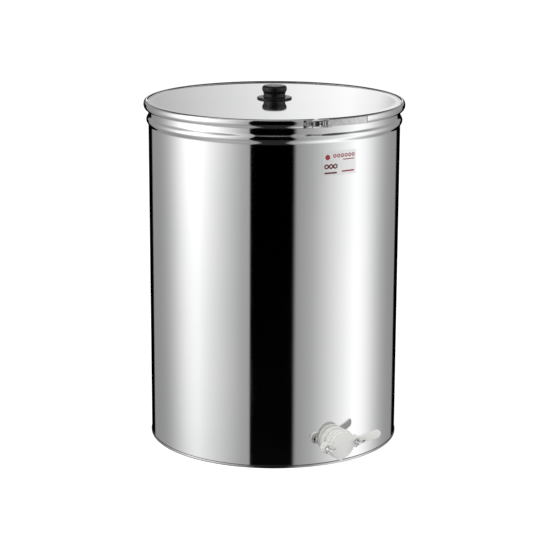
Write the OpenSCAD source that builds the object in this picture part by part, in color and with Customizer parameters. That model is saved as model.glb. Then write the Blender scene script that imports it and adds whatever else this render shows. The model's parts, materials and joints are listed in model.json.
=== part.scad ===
// Honey settling tank: a polished steel drum with a lift-off lid, a closing ring
// with a lever latch, and a nylon honey gate at the foot of the wall.
// Millimetres, +Z up, origin on the ground at the tank's axis, gate towards -Y.

/* [Tank] */
// Outside diameter of the tank wall
tank_d = 525; // [420:1:650]
// Height of the closed tank, to the top of the closing ring
tank_h = 719; // [560:1:900]
// Thickness of the wall sheet
wall_t = 1; // [0.8:0.1:1.5]
// Height of the hem folded inside the rim
rim_hem_h = 9; // [6:1:14]
// Distance from the top of the ring down to the middle of the bead
bead_drop = 40; // [38:1:80]
// Height of the pressed bead
bead_h = 20; // [12:1:24]
// How far the bead stands out of the wall
bead_proud = 4.5; // [3:0.5:7]

/* [Bottom] */
// Thickness of the bottom sheet
floor_t = 1.2; // [0.8:0.1:2]
// Height of the floor's underside above the ground
floor_lift = 8; // [6:1:12]
// Height of the hem that closes over the wall's lower edge
seam_h = 6; // [4:0.5:10]

/* [Lid and lid seal] */
// Thickness of the lid sheet
lid_t = 1; // [0.8:0.1:2]
// How far the middle of the lid stands above its edge
lid_rise = 4; // [2:0.5:8]
// Thickness of the seal between the rim and the lid
lid_seal_t = 2; // [1.5:0.5:4]
// How far the seal reaches in past the wall's outside
lid_seal_lap = 10; // [6:1:16]

/* [Closing ring] */
// Thickness of the ring sheet
ring_t = 1.2; // [0.8:0.1:1.6]
// Height of the ring
ring_h = 19.5; // [18.5:0.5:24]
// How far the ring stands out of the wall
ring_proud = 10; // [8:0.5:11]
// Outside radius of the ring's crown
ring_corner = 6; // [4:0.5:7]
// Width of the hemmed lip that laps over the lid
ring_lip_w = 9; // [9:0.5:14]
// Width of the split in the ring, under the latch
ring_gap = 10; // [6:1:11]

/* [Latch] */
// Azimuth of the lever's pivot, counted from the gate
latch_az = -7.6; // [-20:0.1:10]
// Distance from the top of the ring down to the middle of the latch
latch_drop = 8; // [7:0.5:9]
// Distance of the lever's pivot from the ring's face
pivot_out = 6.5; // [6.2:0.1:8]
// Distance between the lever's pivot and the link's pivot
pivot_arm = 7; // [6.8:0.1:9]
// Distance from the lever's pivot to the hooked bar of the link
hook_reach = 24; // [22:0.5:30]
// Diameter of the hooked bar
bar_d = 3.6; // [3:0.2:4]
// Diameter of the lever's pivot pin
lever_pin_d = 4; // [3:0.2:4.6]
// Diameter of the link's pivot pin
link_pin_d = 3; // [2:0.2:3.4]
// Length of the lever along the ring, from its pivot
lever_reach = 102; // [70:1:140]
// Height of the lever's grip
lever_h = 13; // [10:0.5:15]
// Thickness of the lever sheet
lever_t = 2; // [1.5:0.1:2.2]
// Thickness of the bracket sheet
bracket_t = 1.5; // [1:0.1:1.6]
// Diameter of the rivets that hold the brackets
rivet_d = 3; // [2:0.2:3.4]
// Height of the lever's knuckle, between the bracket's ears
knuckle_h = 7.4; // [6:0.2:8]
// Wall of the lever's knuckle and of the link's eyes
knuckle_t = 1.5; // [1.2:0.1:1.8]
// Thickness of the bracket's ears
ear_t = 1.4; // [1:0.1:1.6]
// Height of the link's arms
link_bar = 2.8; // [2.4:0.1:3.2]
// Diameter of the rolled tip of the lever
grip_tip_d = 5; // [4:0.5:6]
// Length of the catch's foot, left of the hooked bar
hook_foot = 16; // [14:0.5:22]
// Overlap of the hook's lip past the middle of the bar
hook_lip = 3; // [2:0.5:4]
// Room for the bar to rise under the hook's lip
hook_rise = 1.2; // [1.2:0.1:2.5]
// Length of the lever bracket's foot, right of the pivot
lever_foot = 20; // [18:1:26]

/* [Knob] */
// Diameter of the knob's cap
knob_d = 52; // [46:0.5:60]
// Diameter of the knob's waist
knob_waist_d = 45.5; // [30:0.5:46]
// Diameter of the knob's foot
knob_foot_d = 72.5; // [60:0.5:90]
// Thickness of the knob's foot
knob_foot_t = 3; // [2:0.5:4]
// Height of the knob
knob_h = 27.6; // [22:0.2:34]
// Diameter of the screw that holds the knob
knob_screw_d = 8; // [5:0.5:10]
// Length of the screw inside the knob
knob_screw_grip = 15; // [10:0.5:17]
// Diameter of the washer under the lid
knob_washer_d = 24; // [20:1:40]
// Thickness of that washer
knob_washer_t = 1.5; // [1:0.1:3]

/* [Gate body] */
// Height of the gate's axis above the ground
gate_z = 52; // [50:1:110]
// Turn of the gate about its own axis, as it is screwed home
gate_tilt = 4; // [-10:0.5:10]
// Diameter of the gate's bore
gate_bore_d = 40; // [30:1:42]
// Wall of the threaded stub
stub_t = 4; // [3:0.5:5]
// Distance from the tank wall to the back of the gate's flange
gate_standoff = 24; // [20:1:40]
// Diameter of the gate's flange
flange_d = 62; // [60:1:66]
// Thickness of the gate's flange
flange_t = 9; // [7:0.5:12]
// Diameter of the collar that presses the outer seal
collar_d = 60; // [56:1:64]
// Thickness of the collar
collar_t = 8; // [5:0.5:10]
// Distance between the two bolts
bolt_spacing = 68; // [64:1:80]
// Diameter of the bolts
bolt_d = 6; // [5:0.5:6.5]
// Diameter of the lugs that carry the bolts
lug_d = 22; // [18:0.5:24]
// Diameter of the face seal's cord
oring_d = 3; // [2:0.2:3.4]

/* [Gate seals and locknut] */
// Thickness of the outer seal at the gate's axis
outer_seal_t = 4; // [3:0.5:6]
// Thickness of the inner seal at the gate's axis
inner_seal_t = 5; // [4:0.5:8]
// Diameter of the two seals
gate_seal_d = 60; // [54:1:64]
// Width of the locknut across its flats
locknut_af = 62; // [56:1:66]
// Thickness of the locknut
locknut_t = 9; // [6:0.5:14]
// Length of stub left past the locknut
stub_end = 3; // [1:0.5:8]

/* [Gate blade] */
// Diameter of the blade's disc
blade_d = 55; // [52:0.5:58]
// Thickness of the blade
blade_t = 6; // [4:0.5:8]
// How far the drip point reaches below the gate's axis
drip_drop = 33; // [30:0.5:38]
// Length of the handle past the clamp bolt
handle_len = 57; // [40:1:80]
// Width of the handle at its end
handle_w = 17; // [12:0.5:22]
// Rise of the handle over the line of the bolts
handle_rise = 6; // [0:0.5:12]

/* [Wing nuts] */
// Diameter of the washers under the wing nuts
nut_washer_d = 15; // [13:0.5:18]
// Thickness of those washers
nut_washer_t = 1.4; // [1:0.1:2]
// Diameter of the wing nut's hub at its foot
nut_hub_d = 12.5; // [11:0.5:13]
// Height of the wing nut's hub
nut_hub_h = 7; // [5:0.5:9]
// Span of the wings
nut_span = 28; // [24:0.5:32]
// Height of the wings
nut_h = 14; // [12:0.5:16]
// Thickness of the wings
nut_wing_t = 2.6; // [2:0.1:4]
// Length of bolt left past the wing nut's hub
bolt_end = 4; // [3:0.5:8]
// Turn of the wing nut on the pivot bolt, where it was left
pivot_nut_turn = 12; // [-90:1:90]
// Turn of the wing nut on the clamp bolt, where it was left
clamp_nut_turn = 18; // [-90:1:90]

/* [Label] */
// Width of the label, measured round the wall
label_w = 78; // [50:1:120]
// Height of the label
label_h = 49; // [30:1:60]
// Thickness of the label
label_t = 0.3; // [0.2:0.05:0.5]
// Distance from the top of the ring down to the middle of the label
label_drop = 92; // [90:1:200]
// Azimuth of the label's middle, counted from the gate
label_az = 1.5; // [-30:0.5:30]

/* [Fits] */
// Radial play of pins, bolts and screws in their holes
pin_fit = 0.06; // [0.03:0.01:0.1]
// Gap between faces that seat on each other
seat_gap = 0.05; // [0.02:0.01:0.1]
// Gap between round faces that pass each other
pass_gap = 0.3; // [0.2:0.05:0.5]

/* [Hidden] */
$fn = 96;

// Radii and heights of the rim, from the top of the ring down
wall_r = tank_d / 2;
inner_r = wall_r - wall_t;
web_r = wall_r + ring_proud;
roll_r = ring_proud - pass_gap;
lid_r = web_r - 0.6 * ring_corner;
lip_z = tank_h - 2 * ring_t;
lid_top_z = lip_z - seat_gap;
lid_under_z = lid_top_z - lid_t;
rim_z = lid_under_z - lid_seal_t - 2 * seat_gap;

// Dome of the lid, inside the flat edge that lies on the seal
dome_edge_r = wall_r - lid_seal_lap;
dome_r = (dome_edge_r * dome_edge_r + lid_rise * lid_rise) / (2 * lid_rise);
dome_angle = asin(dome_edge_r / dome_r);
knob_seat_z = lid_top_z + lid_rise;
knob_under_z = lid_under_z + lid_rise;
ring_foot_z = tank_h - ring_h;

// Bead pressed out of the wall: an arc of this radius about this point
bead_z = tank_h - bead_drop;
bead_r = (bead_h * bead_h / 4 + bead_proud * bead_proud) / (2 * bead_proud);
bead_mid_r = wall_r + bead_proud - bead_r;

// Bottom seam, from the outside in
seam_outer_r = wall_r + seat_gap + floor_t;
seam_slot_r = inner_r - seat_gap;
foot_inner_r = seam_slot_r - floor_t;
wall_foot_z = floor_t + seat_gap;

// Latch, drawn at the front and then turned to its azimuth
latch_z = tank_h - latch_drop;
pivot_r = web_r + pivot_out;
hook_az = latch_az - atan(hook_reach / pivot_r);
hook_r = sqrt(pivot_r * pivot_r + hook_reach * hook_reach);
knuckle_d = lever_pin_d + 2 * knuckle_t;
ear_z = knuckle_h / 2 + pass_gap / 2;
ear_top_z = ear_z + ear_t;
link_z = ear_top_z + pass_gap;
link_top_z = link_z + link_bar;
link_eye_d = link_pin_d + 2 * knuckle_t;
grip_in_r = web_r + bracket_t + rivet_d * 0.5 + pass_gap;
grip_root = pivot_arm + link_eye_d / 2 + pass_gap;
hook_h = 2 * (link_z - 3 * pass_gap);
hook_wall_x = bar_d / 2 + pass_gap;
hook_end = hook_reach - hook_wall_x - bracket_t;
gap_az = latch_az - atan((hook_end + knuckle_d / 2) / 2 / web_r);
gap_angle = ring_gap / web_r * 180 / PI;
rivet_z = (tank_h - ring_corner + ring_foot_z + roll_r) / 2;

// Azimuths of the rivets: two in the catch bracket, two in the lever bracket
rivet_places = [
    hook_az - 0.85 * hook_foot / web_r * 180 / PI,
    hook_az - 0.45 * hook_foot / web_r * 180 / PI,
    latch_az + 0.45 * lever_foot / web_r * 180 / PI,
    latch_az + 0.85 * lever_foot / web_r * 180 / PI
];

// Levels along the gate's axis, counted outwards from the wall
stub_r = gate_bore_d / 2 + stub_t;
collar_from = outer_seal_t + seat_gap;
flange_to = gate_standoff + flange_t;
blade_from = flange_to + 2 * seat_gap;
blade_to = blade_from + blade_t;
washer_from = blade_to + seat_gap;
nut_from = washer_from + nut_washer_t + seat_gap;
bolt_to = nut_from + nut_hub_h + bolt_end;
locknut_to = -wall_t - inner_seal_t - seat_gap;
stub_from = locknut_to - locknut_t - stub_end;
oring_r = gate_bore_d / 2 + oring_d;
bolt_r = bolt_d / 2;
head_af = 1.6 * bolt_d;
head_t = 0.65 * bolt_d;
steel = [0.80, 0.81, 0.82];
nylon = [0.91, 0.91, 0.88];
rubber = [0.82, 0.81, 0.77];
dark_rubber = [0.07, 0.07, 0.07];
arc_steps = 12;
wall_steps = 256;
slot_angle = 20;
foot_wrap = 48;

// Points along an arc about c
function arc(c, r, from, to) = [
    for (i = [0:arc_steps]) let (a = from + (to - from) * i / arc_steps) c + r * [cos(a), sin(a)]
];

// Outer outline of the ring from its lip to its foot, moved out by off
function ring_line(off) = concat(
    [[web_r - ring_lip_w, tank_h + off]],
    arc([web_r - ring_corner, tank_h - ring_corner], ring_corner + off, 90, 0),
    arc([web_r - roll_r, ring_foot_z + roll_r], roll_r + off, 0, -90)
);

// Section of the ring: the hem of its lip, its crown, its roll and back up inside
function ring_section() =
    let (crown = [web_r - ring_corner, tank_h - ring_corner], roll = [web_r - roll_r, ring_foot_z + roll_r])
    concat(
        arc([web_r - ring_lip_w + ring_t, tank_h - ring_t], ring_t, 270, 90),
        arc(crown, ring_corner, 90, 0),
        arc(roll, roll_r, 0, -90),
        arc(roll, roll_r - ring_t, -90, 0),
        arc(crown, ring_corner - ring_t, 0, asin((ring_corner - 2 * ring_t) / (ring_corner - ring_t)))
    );

// Part of the outer outline that a bracket lies on, moved out by off
function bracket_line(off) = concat(
    arc([web_r - ring_corner, tank_h - ring_corner], ring_corner + off, foot_wrap, 0),
    arc([web_r - roll_r, ring_foot_z + roll_r], roll_r + off, 0, -foot_wrap)
);

function reversed(list) = [for (i = [len(list) - 1:-1:0]) list[i]];

// Bead outline, from its foot to its top, for a sheet face set in by off
function bead_line(off) =
    let (half = acos((bead_r - bead_proud - off) / (bead_r - off)))
    arc([bead_mid_r, bead_z], bead_r - off, -half, half);

// Dome outline, from the middle out, for a sheet face whose edge is at height z
function dome_line(z) = arc([0, z + lid_rise - dome_r], dome_r, 90, 90 - dome_angle);

// Turns a piece drawn at the front to an azimuth
module at_azimuth(az) {
    rotate([0, 0, az]) children();
}

// Sweeps a radial section round the tank between two azimuths
module sweep(az0, az1) {
    rotate([0, 0, az0 - 90]) rotate_extrude(angle = az1 - az0) children();
}

// Latch frame: x round the ring, y inwards, origin at the lever's pivot
module at_pivot() {
    at_azimuth(latch_az) translate([0, -pivot_r, latch_z]) children();
}

// Frame at the hooked bar, square to the ring there
module at_hook() {
    at_azimuth(hook_az) translate([0, -hook_r, latch_z]) children();
}

// Gate frame: x to the right, y up, z outwards from the wall
module at_gate() {
    translate([0, -wall_r, gate_z]) rotate([90, 0, 0]) rotate([0, 0, gate_tilt]) children();
}

module at_pivot_bolt() {
    at_gate() translate([-bolt_spacing / 2, 0, 0]) children();
}

module at_clamp_bolt() {
    at_gate() translate([bolt_spacing / 2, 0, 0]) children();
}

// Round bar between two levels of the frame that it is drawn in
module bar(d, from, to) {
    translate([0, 0, from]) cylinder(d = d, h = to - from);
}

module tank_shell() {
    color(steel) difference() {
        rotate_extrude() polygon(concat(
            [[wall_r, wall_foot_z]],
            bead_line(0),
            [[wall_r, rim_z], [wall_r - 2 * wall_t, rim_z], [wall_r - 2 * wall_t, rim_z - rim_hem_h],
             [inner_r, rim_z - rim_hem_h]],
            reversed(bead_line(wall_t)),
            [[inner_r, wall_foot_z]]
        ));
        at_gate() bar(2 * (stub_r + pass_gap), stub_from, gate_standoff);
    }
}

module tank_bottom() {
    color(steel) rotate_extrude() polygon([
        [0, floor_lift + floor_t], [seam_slot_r, floor_lift + floor_t], [seam_slot_r, floor_t],
        [wall_r + seat_gap, floor_t], [wall_r + seat_gap, seam_h], [seam_outer_r, seam_h],
        [seam_outer_r, 0], [foot_inner_r, 0], [foot_inner_r, floor_lift], [0, floor_lift]
    ]);
}

module label() {
    half_angle = label_w / wall_r * 90 / PI;
    color([0.95, 0.93, 0.92]) sweep(label_az - half_angle, label_az + half_angle, $fn = wall_steps)
        translate([wall_r + seat_gap, tank_h - label_drop - label_h / 2]) square([label_t, label_h]);
}

module gate_body() {
    color(nylon) difference() {
        at_gate() {
            bar(2 * stub_r, stub_from, gate_standoff + flange_t / 2);
            bar(collar_d, collar_from, collar_from + collar_t);
            translate([0, 0, gate_standoff]) linear_extrude(flange_t) {
                circle(d = flange_d);
                square([bolt_spacing, 0.8 * lug_d], center = true);
                for (side = [-1, 1]) translate([side * bolt_spacing / 2, 0]) circle(d = lug_d);
            }
        }
        at_gate() bar(gate_bore_d, stub_from - 1, flange_to + 1);
        at_gate() translate([0, 0, flange_to - oring_d]) difference() {
            cylinder(r = oring_r + oring_d / 2 + seat_gap, h = 2 * oring_d);
            translate([0, 0, -1]) cylinder(r = oring_r - oring_d / 2 - seat_gap, h = 2 * oring_d + 2);
        }
        for (side = [-1, 1]) at_gate() translate([side * bolt_spacing / 2, 0, 0])
            bar(bolt_d + 2 * pin_fit, gate_standoff - 1, flange_to + 1);
    }
}

module gate_outer_seal() {
    color(rubber) difference() {
        at_gate() bar(gate_seal_d, -0.1 * gate_seal_d, outer_seal_t);
        at_gate() bar(2 * (stub_r + seat_gap), -0.2 * gate_seal_d, outer_seal_t + 1);
        cylinder(r = wall_r + seat_gap, h = tank_h, $fn = wall_steps);
    }
}

module gate_inner_seal() {
    color(rubber) intersection() {
        difference() {
            at_gate() bar(gate_seal_d, -wall_t - inner_seal_t, 0);
            at_gate() bar(2 * (stub_r + seat_gap), -wall_t - inner_seal_t - 1, 1);
        }
        cylinder(r = inner_r - seat_gap, h = tank_h, $fn = wall_steps);
    }
}

module gate_locknut() {
    color(nylon) at_gate() difference() {
        translate([0, 0, locknut_to - locknut_t])
            cylinder(d = locknut_af / cos(30), h = locknut_t, $fn = 6);
        bar(2 * (stub_r + pin_fit), locknut_to - locknut_t - 1, locknut_to + 1);
    }
}

module gate_face_seal() {
    color(rubber) at_gate() translate([0, 0, flange_to - oring_d / 2 - seat_gap])
        rotate_extrude() translate([oring_r, 0]) circle(d = oring_d - 2 * seat_gap);
}

// Hexagon bolt, head behind the flange and shank through the blade and its nut
module gate_bolt() {
    color(steel) {
        bar(bolt_d, gate_standoff - seat_gap - head_t / 2, bolt_to);
        translate([0, 0, gate_standoff - seat_gap - head_t])
            cylinder(d = head_af / cos(30), h = head_t, $fn = 6);
    }
}

module pivot_bolt() {
    at_pivot_bolt() gate_bolt();
}

module clamp_bolt() {
    at_clamp_bolt() gate_bolt();
}

// Slot that the clamp bolt leaves by as the blade swings up about the pivot bolt
module clamp_slot() {
    half = bolt_r + pass_gap;
    pivot = [-bolt_spacing / 2, 0];
    polygon(concat(
        arc(pivot, bolt_spacing - half, -slot_angle, 0),
        arc(pivot, bolt_spacing + half, 0, -slot_angle)
    ));
    translate([bolt_spacing / 2, 0]) circle(r = half);
}

module gate_blade() {
    blade_r = blade_d / 2;
    handle_end = handle_len - handle_w / 2;
    color(nylon) at_gate() translate([0, 0, blade_from]) difference() {
        linear_extrude(blade_t) difference() {
            union() {
                circle(d = blade_d);
                polygon([[-0.85 * blade_r, -0.52 * blade_r], [-0.25 * blade_r, -drip_drop],
                         [0.5 * blade_r, -0.86 * blade_r]]);
                square([bolt_spacing, 0.72 * lug_d], center = true);
                for (side = [-1, 1]) translate([side * bolt_spacing / 2, 0]) circle(d = 0.9 * lug_d);
                translate([bolt_spacing / 2, 0]) rotate(handle_rise) {
                    polygon([[0, -0.36 * lug_d], [handle_end, -handle_w / 2],
                             [handle_end, handle_w / 2], [0, 0.4 * lug_d]]);
                    translate([handle_end, 0]) circle(d = handle_w);
                }
            }
            clamp_slot();
        }
        translate([-bolt_spacing / 2, 0, 0]) bar(bolt_d + 2 * pin_fit, -1, blade_t + 1);
    }
}

// Washer under a wing nut
module nut_washer() {
    color(steel) difference() {
        bar(nut_washer_d, washer_from, washer_from + nut_washer_t);
        bar(bolt_d + 2 * pin_fit, washer_from - 1, washer_from + nut_washer_t + 1);
    }
}

// Wing nut with a tapered hub and two wings that lean outwards
module wing_nut(turn) {
    wing_r = nut_h / 3;
    color(steel) rotate([0, 0, turn]) difference() {
        translate([0, 0, nut_from]) {
            cylinder(d1 = nut_hub_d, d2 = 0.8 * nut_hub_d, h = nut_hub_h);
            for (side = [0, 180]) rotate([0, 0, side]) rotate([90, 0, 0])
                linear_extrude(nut_wing_t, center = true) {
                    translate([nut_span / 2 - wing_r, nut_h - wing_r]) circle(r = wing_r);
                    polygon([[0.3 * nut_hub_d, 0.1 * nut_h], [0.5 * nut_hub_d, 0.1 * nut_h],
                             [nut_span / 2 - 0.2 * wing_r, nut_h - 1.6 * wing_r],
                             [nut_span / 2 - 1.7 * wing_r, nut_h - 0.3 * wing_r],
                             [0.3 * nut_hub_d, nut_hub_h]]);
                }
        }
        bar(bolt_d + 2 * pin_fit, nut_from - 1, nut_from + nut_h + 1);
    }
}

module pivot_washer() {
    at_pivot_bolt() nut_washer();
}

module pivot_wing_nut() {
    at_pivot_bolt() wing_nut(pivot_nut_turn);
}

module clamp_washer() {
    at_clamp_bolt() nut_washer();
}

module clamp_wing_nut() {
    at_clamp_bolt() wing_nut(clamp_nut_turn);
}

// Domed lid with a flat edge
module lid_plate() {
    color(steel) difference() {
        rotate_extrude() polygon(concat(
            dome_line(lid_top_z), [[lid_r, lid_top_z], [lid_r, lid_under_z]], reversed(dome_line(lid_under_z))
        ));
        bar(knob_screw_d + 2 * pin_fit, knob_under_z - 1, knob_seat_z + 1);
    }
}

// Moulded seal: a flat lap over the rim and a skirt that the ring squeezes on the wall
module lid_seal() {
    skirt_r = wall_r + pass_gap;
    roll_in_r = roll_r - ring_t - seat_gap;
    top_z = lid_under_z - seat_gap;
    lap_z = top_z - lid_seal_t;
    color(dark_rubber) rotate_extrude() polygon(concat(
        [[wall_r - lid_seal_lap, lap_z], [wall_r - lid_seal_lap, top_z], [lid_r, top_z]],
        arc([web_r - roll_r, ring_foot_z + roll_r], roll_in_r, 0, -80),
        [[skirt_r, ring_foot_z + roll_r - roll_in_r * sin(80)], [skirt_r, lap_z]]
    ));
}

module closing_ring() {
    color(steel) difference() {
        sweep(gap_az + gap_angle / 2, gap_az + 360 - gap_angle / 2)
            polygon(ring_section());
        rivet_holes();
    }
}

// Round bars along the radius at every rivet
module at_rivets() {
    for (az = rivet_places) at_azimuth(az) translate([0, -web_r, rivet_z]) rotate([90, 0, 0]) children();
}

module rivet_holes() {
    at_rivets() bar(rivet_d + 2 * pin_fit, -2 * ring_t, bracket_t + 1);
}

module bracket_rivets() {
    head_z = seat_gap + bracket_t + seat_gap;
    color(steel) at_rivets() {
        bar(rivet_d, -ring_t, head_z + 0.1 * rivet_d);
        bar(1.7 * rivet_d, head_z, head_z + 0.3 * rivet_d);
    }
}

// Space that the ring fills, with a seat gap round it
module ring_room() {
    sweep(latch_az - 30, latch_az + 30)
        polygon(concat(ring_line(seat_gap), [[wall_r, ring_foot_z - seat_gap], [wall_r, tank_h + seat_gap]]));
}

// Sheet foot of a bracket, wrapped on the ring between two distances from an azimuth
module bracket_foot(az, from, to) {
    degree = 180 / PI / web_r;
    difference() {
        sweep(az + from * degree, az + to * degree)
            polygon(concat(bracket_line(seat_gap + bracket_t), reversed(bracket_line(seat_gap))));
        rivet_holes();
    }
}

// Hook that the link's bar sits behind, open to the left
module catch_bracket() {
    stand = hook_r - web_r;
    lip_y = bar_d / 2 + hook_rise;
    color(steel) {
        bracket_foot(hook_az, -hook_foot, hook_wall_x + bracket_t);
        difference() {
            at_hook() translate([0, 0, -hook_h / 2]) linear_extrude(hook_h) {
                translate([hook_wall_x, -lip_y - bracket_t])
                    square([bracket_t, lip_y + bracket_t + stand + roll_r / 2]);
                translate([-hook_lip, -lip_y - bracket_t])
                    square([hook_lip + hook_wall_x + bracket_t / 2, bracket_t]);
            }
            ring_room();
        }
    }
}

// Foot and two ears that carry the lever's pivot pin
module lever_bracket() {
    color(steel) difference() {
        union() {
            bracket_foot(latch_az, -knuckle_d / 2, lever_foot);
            difference() {
                for (side = [-1, 1]) at_pivot() translate([0, 0, side * (ear_z + ear_t / 2)])
                    linear_extrude(ear_t, center = true) {
                        circle(d = knuckle_d);
                        translate([-knuckle_d / 2, 0]) square([knuckle_d, pivot_out + roll_r / 2]);
                    }
                ring_room();
            }
        }
        at_pivot() bar(lever_pin_d + 2 * pin_fit, -2 * ear_top_z, 2 * ear_top_z);
    }
}

module lever_pin() {
    color(steel) at_pivot() bar(lever_pin_d, -ear_top_z, ear_top_z);
}

// Lever: knuckle on the pivot pin, root that carries the link's pin, grip along the ring
module latch_lever() {
    root_angle = atan(grip_root / pivot_r);
    tip_angle = lever_reach / pivot_r * 180 / PI;
    color(steel) difference() {
        union() {
            at_pivot() linear_extrude(knuckle_h, center = true) {
                circle(d = knuckle_d);
                translate([pivot_arm, 0]) circle(d = link_eye_d);
                translate([0, -lever_t / 2]) square([grip_root + lever_t, pivot_r - grip_in_r + lever_t / 4]);
            }
            translate([0, 0, latch_z - lever_h / 2])
                sweep(latch_az + root_angle, latch_az + tip_angle)
                    translate([grip_in_r, 0]) square([lever_t, lever_h]);
            at_azimuth(latch_az + tip_angle) translate([0, -grip_in_r - 0.55 * grip_tip_d, latch_z])
                bar(grip_tip_d, -lever_h / 2, lever_h / 2);
        }
        at_pivot() bar(lever_pin_d + 2 * pin_fit, -lever_h, lever_h);
        at_pivot() translate([pivot_arm, 0, 0]) bar(link_pin_d + 2 * pin_fit, -lever_h, lever_h);
    }
}

module link_pin() {
    color(steel) at_pivot() translate([pivot_arm, 0, 0]) bar(link_pin_d, -link_top_z, link_top_z);
}

// Link: two arms that straddle the lever's bracket, joined by the hooked bar
module latch_link() {
    color(steel) at_pivot() difference() {
        union() {
            for (side = [-1, 1]) translate([0, 0, side * (link_z + link_bar / 2)])
                linear_extrude(link_bar, center = true) {
                    translate([pivot_arm, 0]) circle(d = link_eye_d);
                    translate([-hook_reach, -link_bar / 2]) square([hook_reach + pivot_arm, link_bar]);
                    translate([-hook_reach, 0]) circle(d = bar_d);
                }
            translate([-hook_reach, 0, 0]) bar(bar_d, -link_top_z, link_top_z);
        }
        translate([pivot_arm, 0, 0]) bar(link_pin_d + 2 * pin_fit, -2 * link_top_z, 2 * link_top_z);
    }
}

module lid_knob() {
    foot_r = knob_foot_d / 2;
    waist_r = knob_waist_d / 2;
    cap_r = knob_d / 2;
    cap_z = 0.5 * knob_h;
    edge_r = 0.16 * knob_h;
    crown_z = knob_h - 0.1 * knob_h - edge_r;
    color([0.05, 0.05, 0.055]) translate([0, 0, knob_seat_z + seat_gap]) difference() {
        rotate_extrude() polygon(concat(
            [[0, 0], [foot_r - knob_foot_t / 2, 0]],
            arc([foot_r - knob_foot_t / 2, knob_foot_t / 2], knob_foot_t / 2, -90, 90),
            [[waist_r + knob_foot_t, knob_foot_t]],
            [[waist_r, 2 * knob_foot_t], [waist_r, cap_z - (cap_r - waist_r)]],
            [[cap_r, cap_z]],
            arc([cap_r - edge_r, crown_z], edge_r, 0, 75),
            [[0.35 * cap_r, 0.985 * knob_h], [0, knob_h]]
        ));
        bar(knob_screw_d + 2 * pin_fit, -1, knob_screw_grip + pass_gap);
    }
}

module knob_washer() {
    color(steel) difference() {
        bar(knob_washer_d, knob_under_z - seat_gap - knob_washer_t, knob_under_z - seat_gap);
        bar(knob_screw_d + 2 * pin_fit, knob_under_z - 2 * knob_washer_t - 1, knob_under_z + 1);
    }
}

module knob_screw() {
    head_top = knob_under_z - 2 * seat_gap - knob_washer_t;
    color(steel) {
        bar(knob_screw_d, head_top - 0.3 * knob_screw_d, knob_seat_z + knob_screw_grip);
        translate([0, 0, head_top - 0.65 * knob_screw_d])
            cylinder(d = 1.6 * knob_screw_d / cos(30), h = 0.65 * knob_screw_d, $fn = 6);
    }
}

tank_shell();
tank_bottom();
label();
gate_body();
gate_outer_seal();
gate_inner_seal();
gate_locknut();
gate_face_seal();
pivot_bolt();
clamp_bolt();
gate_blade();
pivot_washer();
pivot_wing_nut();
clamp_washer();
clamp_wing_nut();
lid_plate();
lid_seal();
closing_ring();
catch_bracket();
lever_bracket();
bracket_rivets();
lever_pin();
latch_lever();
link_pin();
latch_link();
lid_knob();
knob_washer();
knob_screw();
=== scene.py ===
import json
import math

import bmesh
import bpy
import numpy as np
from mathutils import Matrix, Vector
from mathutils.geometry import tessellate_polygon


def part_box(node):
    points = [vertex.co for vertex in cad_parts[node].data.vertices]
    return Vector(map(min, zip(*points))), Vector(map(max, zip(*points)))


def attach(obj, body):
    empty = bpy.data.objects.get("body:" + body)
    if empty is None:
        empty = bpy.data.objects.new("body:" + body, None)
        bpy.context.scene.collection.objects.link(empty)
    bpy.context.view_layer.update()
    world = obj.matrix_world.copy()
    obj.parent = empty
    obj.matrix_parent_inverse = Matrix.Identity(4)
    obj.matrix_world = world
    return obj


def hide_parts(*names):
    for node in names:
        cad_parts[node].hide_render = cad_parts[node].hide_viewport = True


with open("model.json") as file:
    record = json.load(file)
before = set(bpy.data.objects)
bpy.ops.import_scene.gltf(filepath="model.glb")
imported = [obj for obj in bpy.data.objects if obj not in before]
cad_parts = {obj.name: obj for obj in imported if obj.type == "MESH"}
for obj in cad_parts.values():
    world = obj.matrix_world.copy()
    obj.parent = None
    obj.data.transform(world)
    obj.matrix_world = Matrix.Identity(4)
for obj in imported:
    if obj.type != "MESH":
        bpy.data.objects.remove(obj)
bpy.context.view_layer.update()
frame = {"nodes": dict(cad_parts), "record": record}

cadNodes = frame["nodes"]
record = frame["record"]
bodyOf = {node: body for body, group in record["behaviour"]["bodies"].items() for node in group}
slotOf = {part["node"]: part["material_slot"] for part in record["subparts"]}
scene = bpy.context.scene
scene.view_settings.view_transform = "Standard"
mm = 0.001
# points closer than this are one point
samePoint = 1e-6
# degrees above which an edge of a small steel piece is sharp
steelCrease = 35
print("frame loaded:", len(cadNodes), "nodes")


def addObject(name, data):
    made = bpy.data.objects.new(name, data)
    scene.collection.objects.link(made)
    return made


# Sockets that add up like numbers

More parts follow.
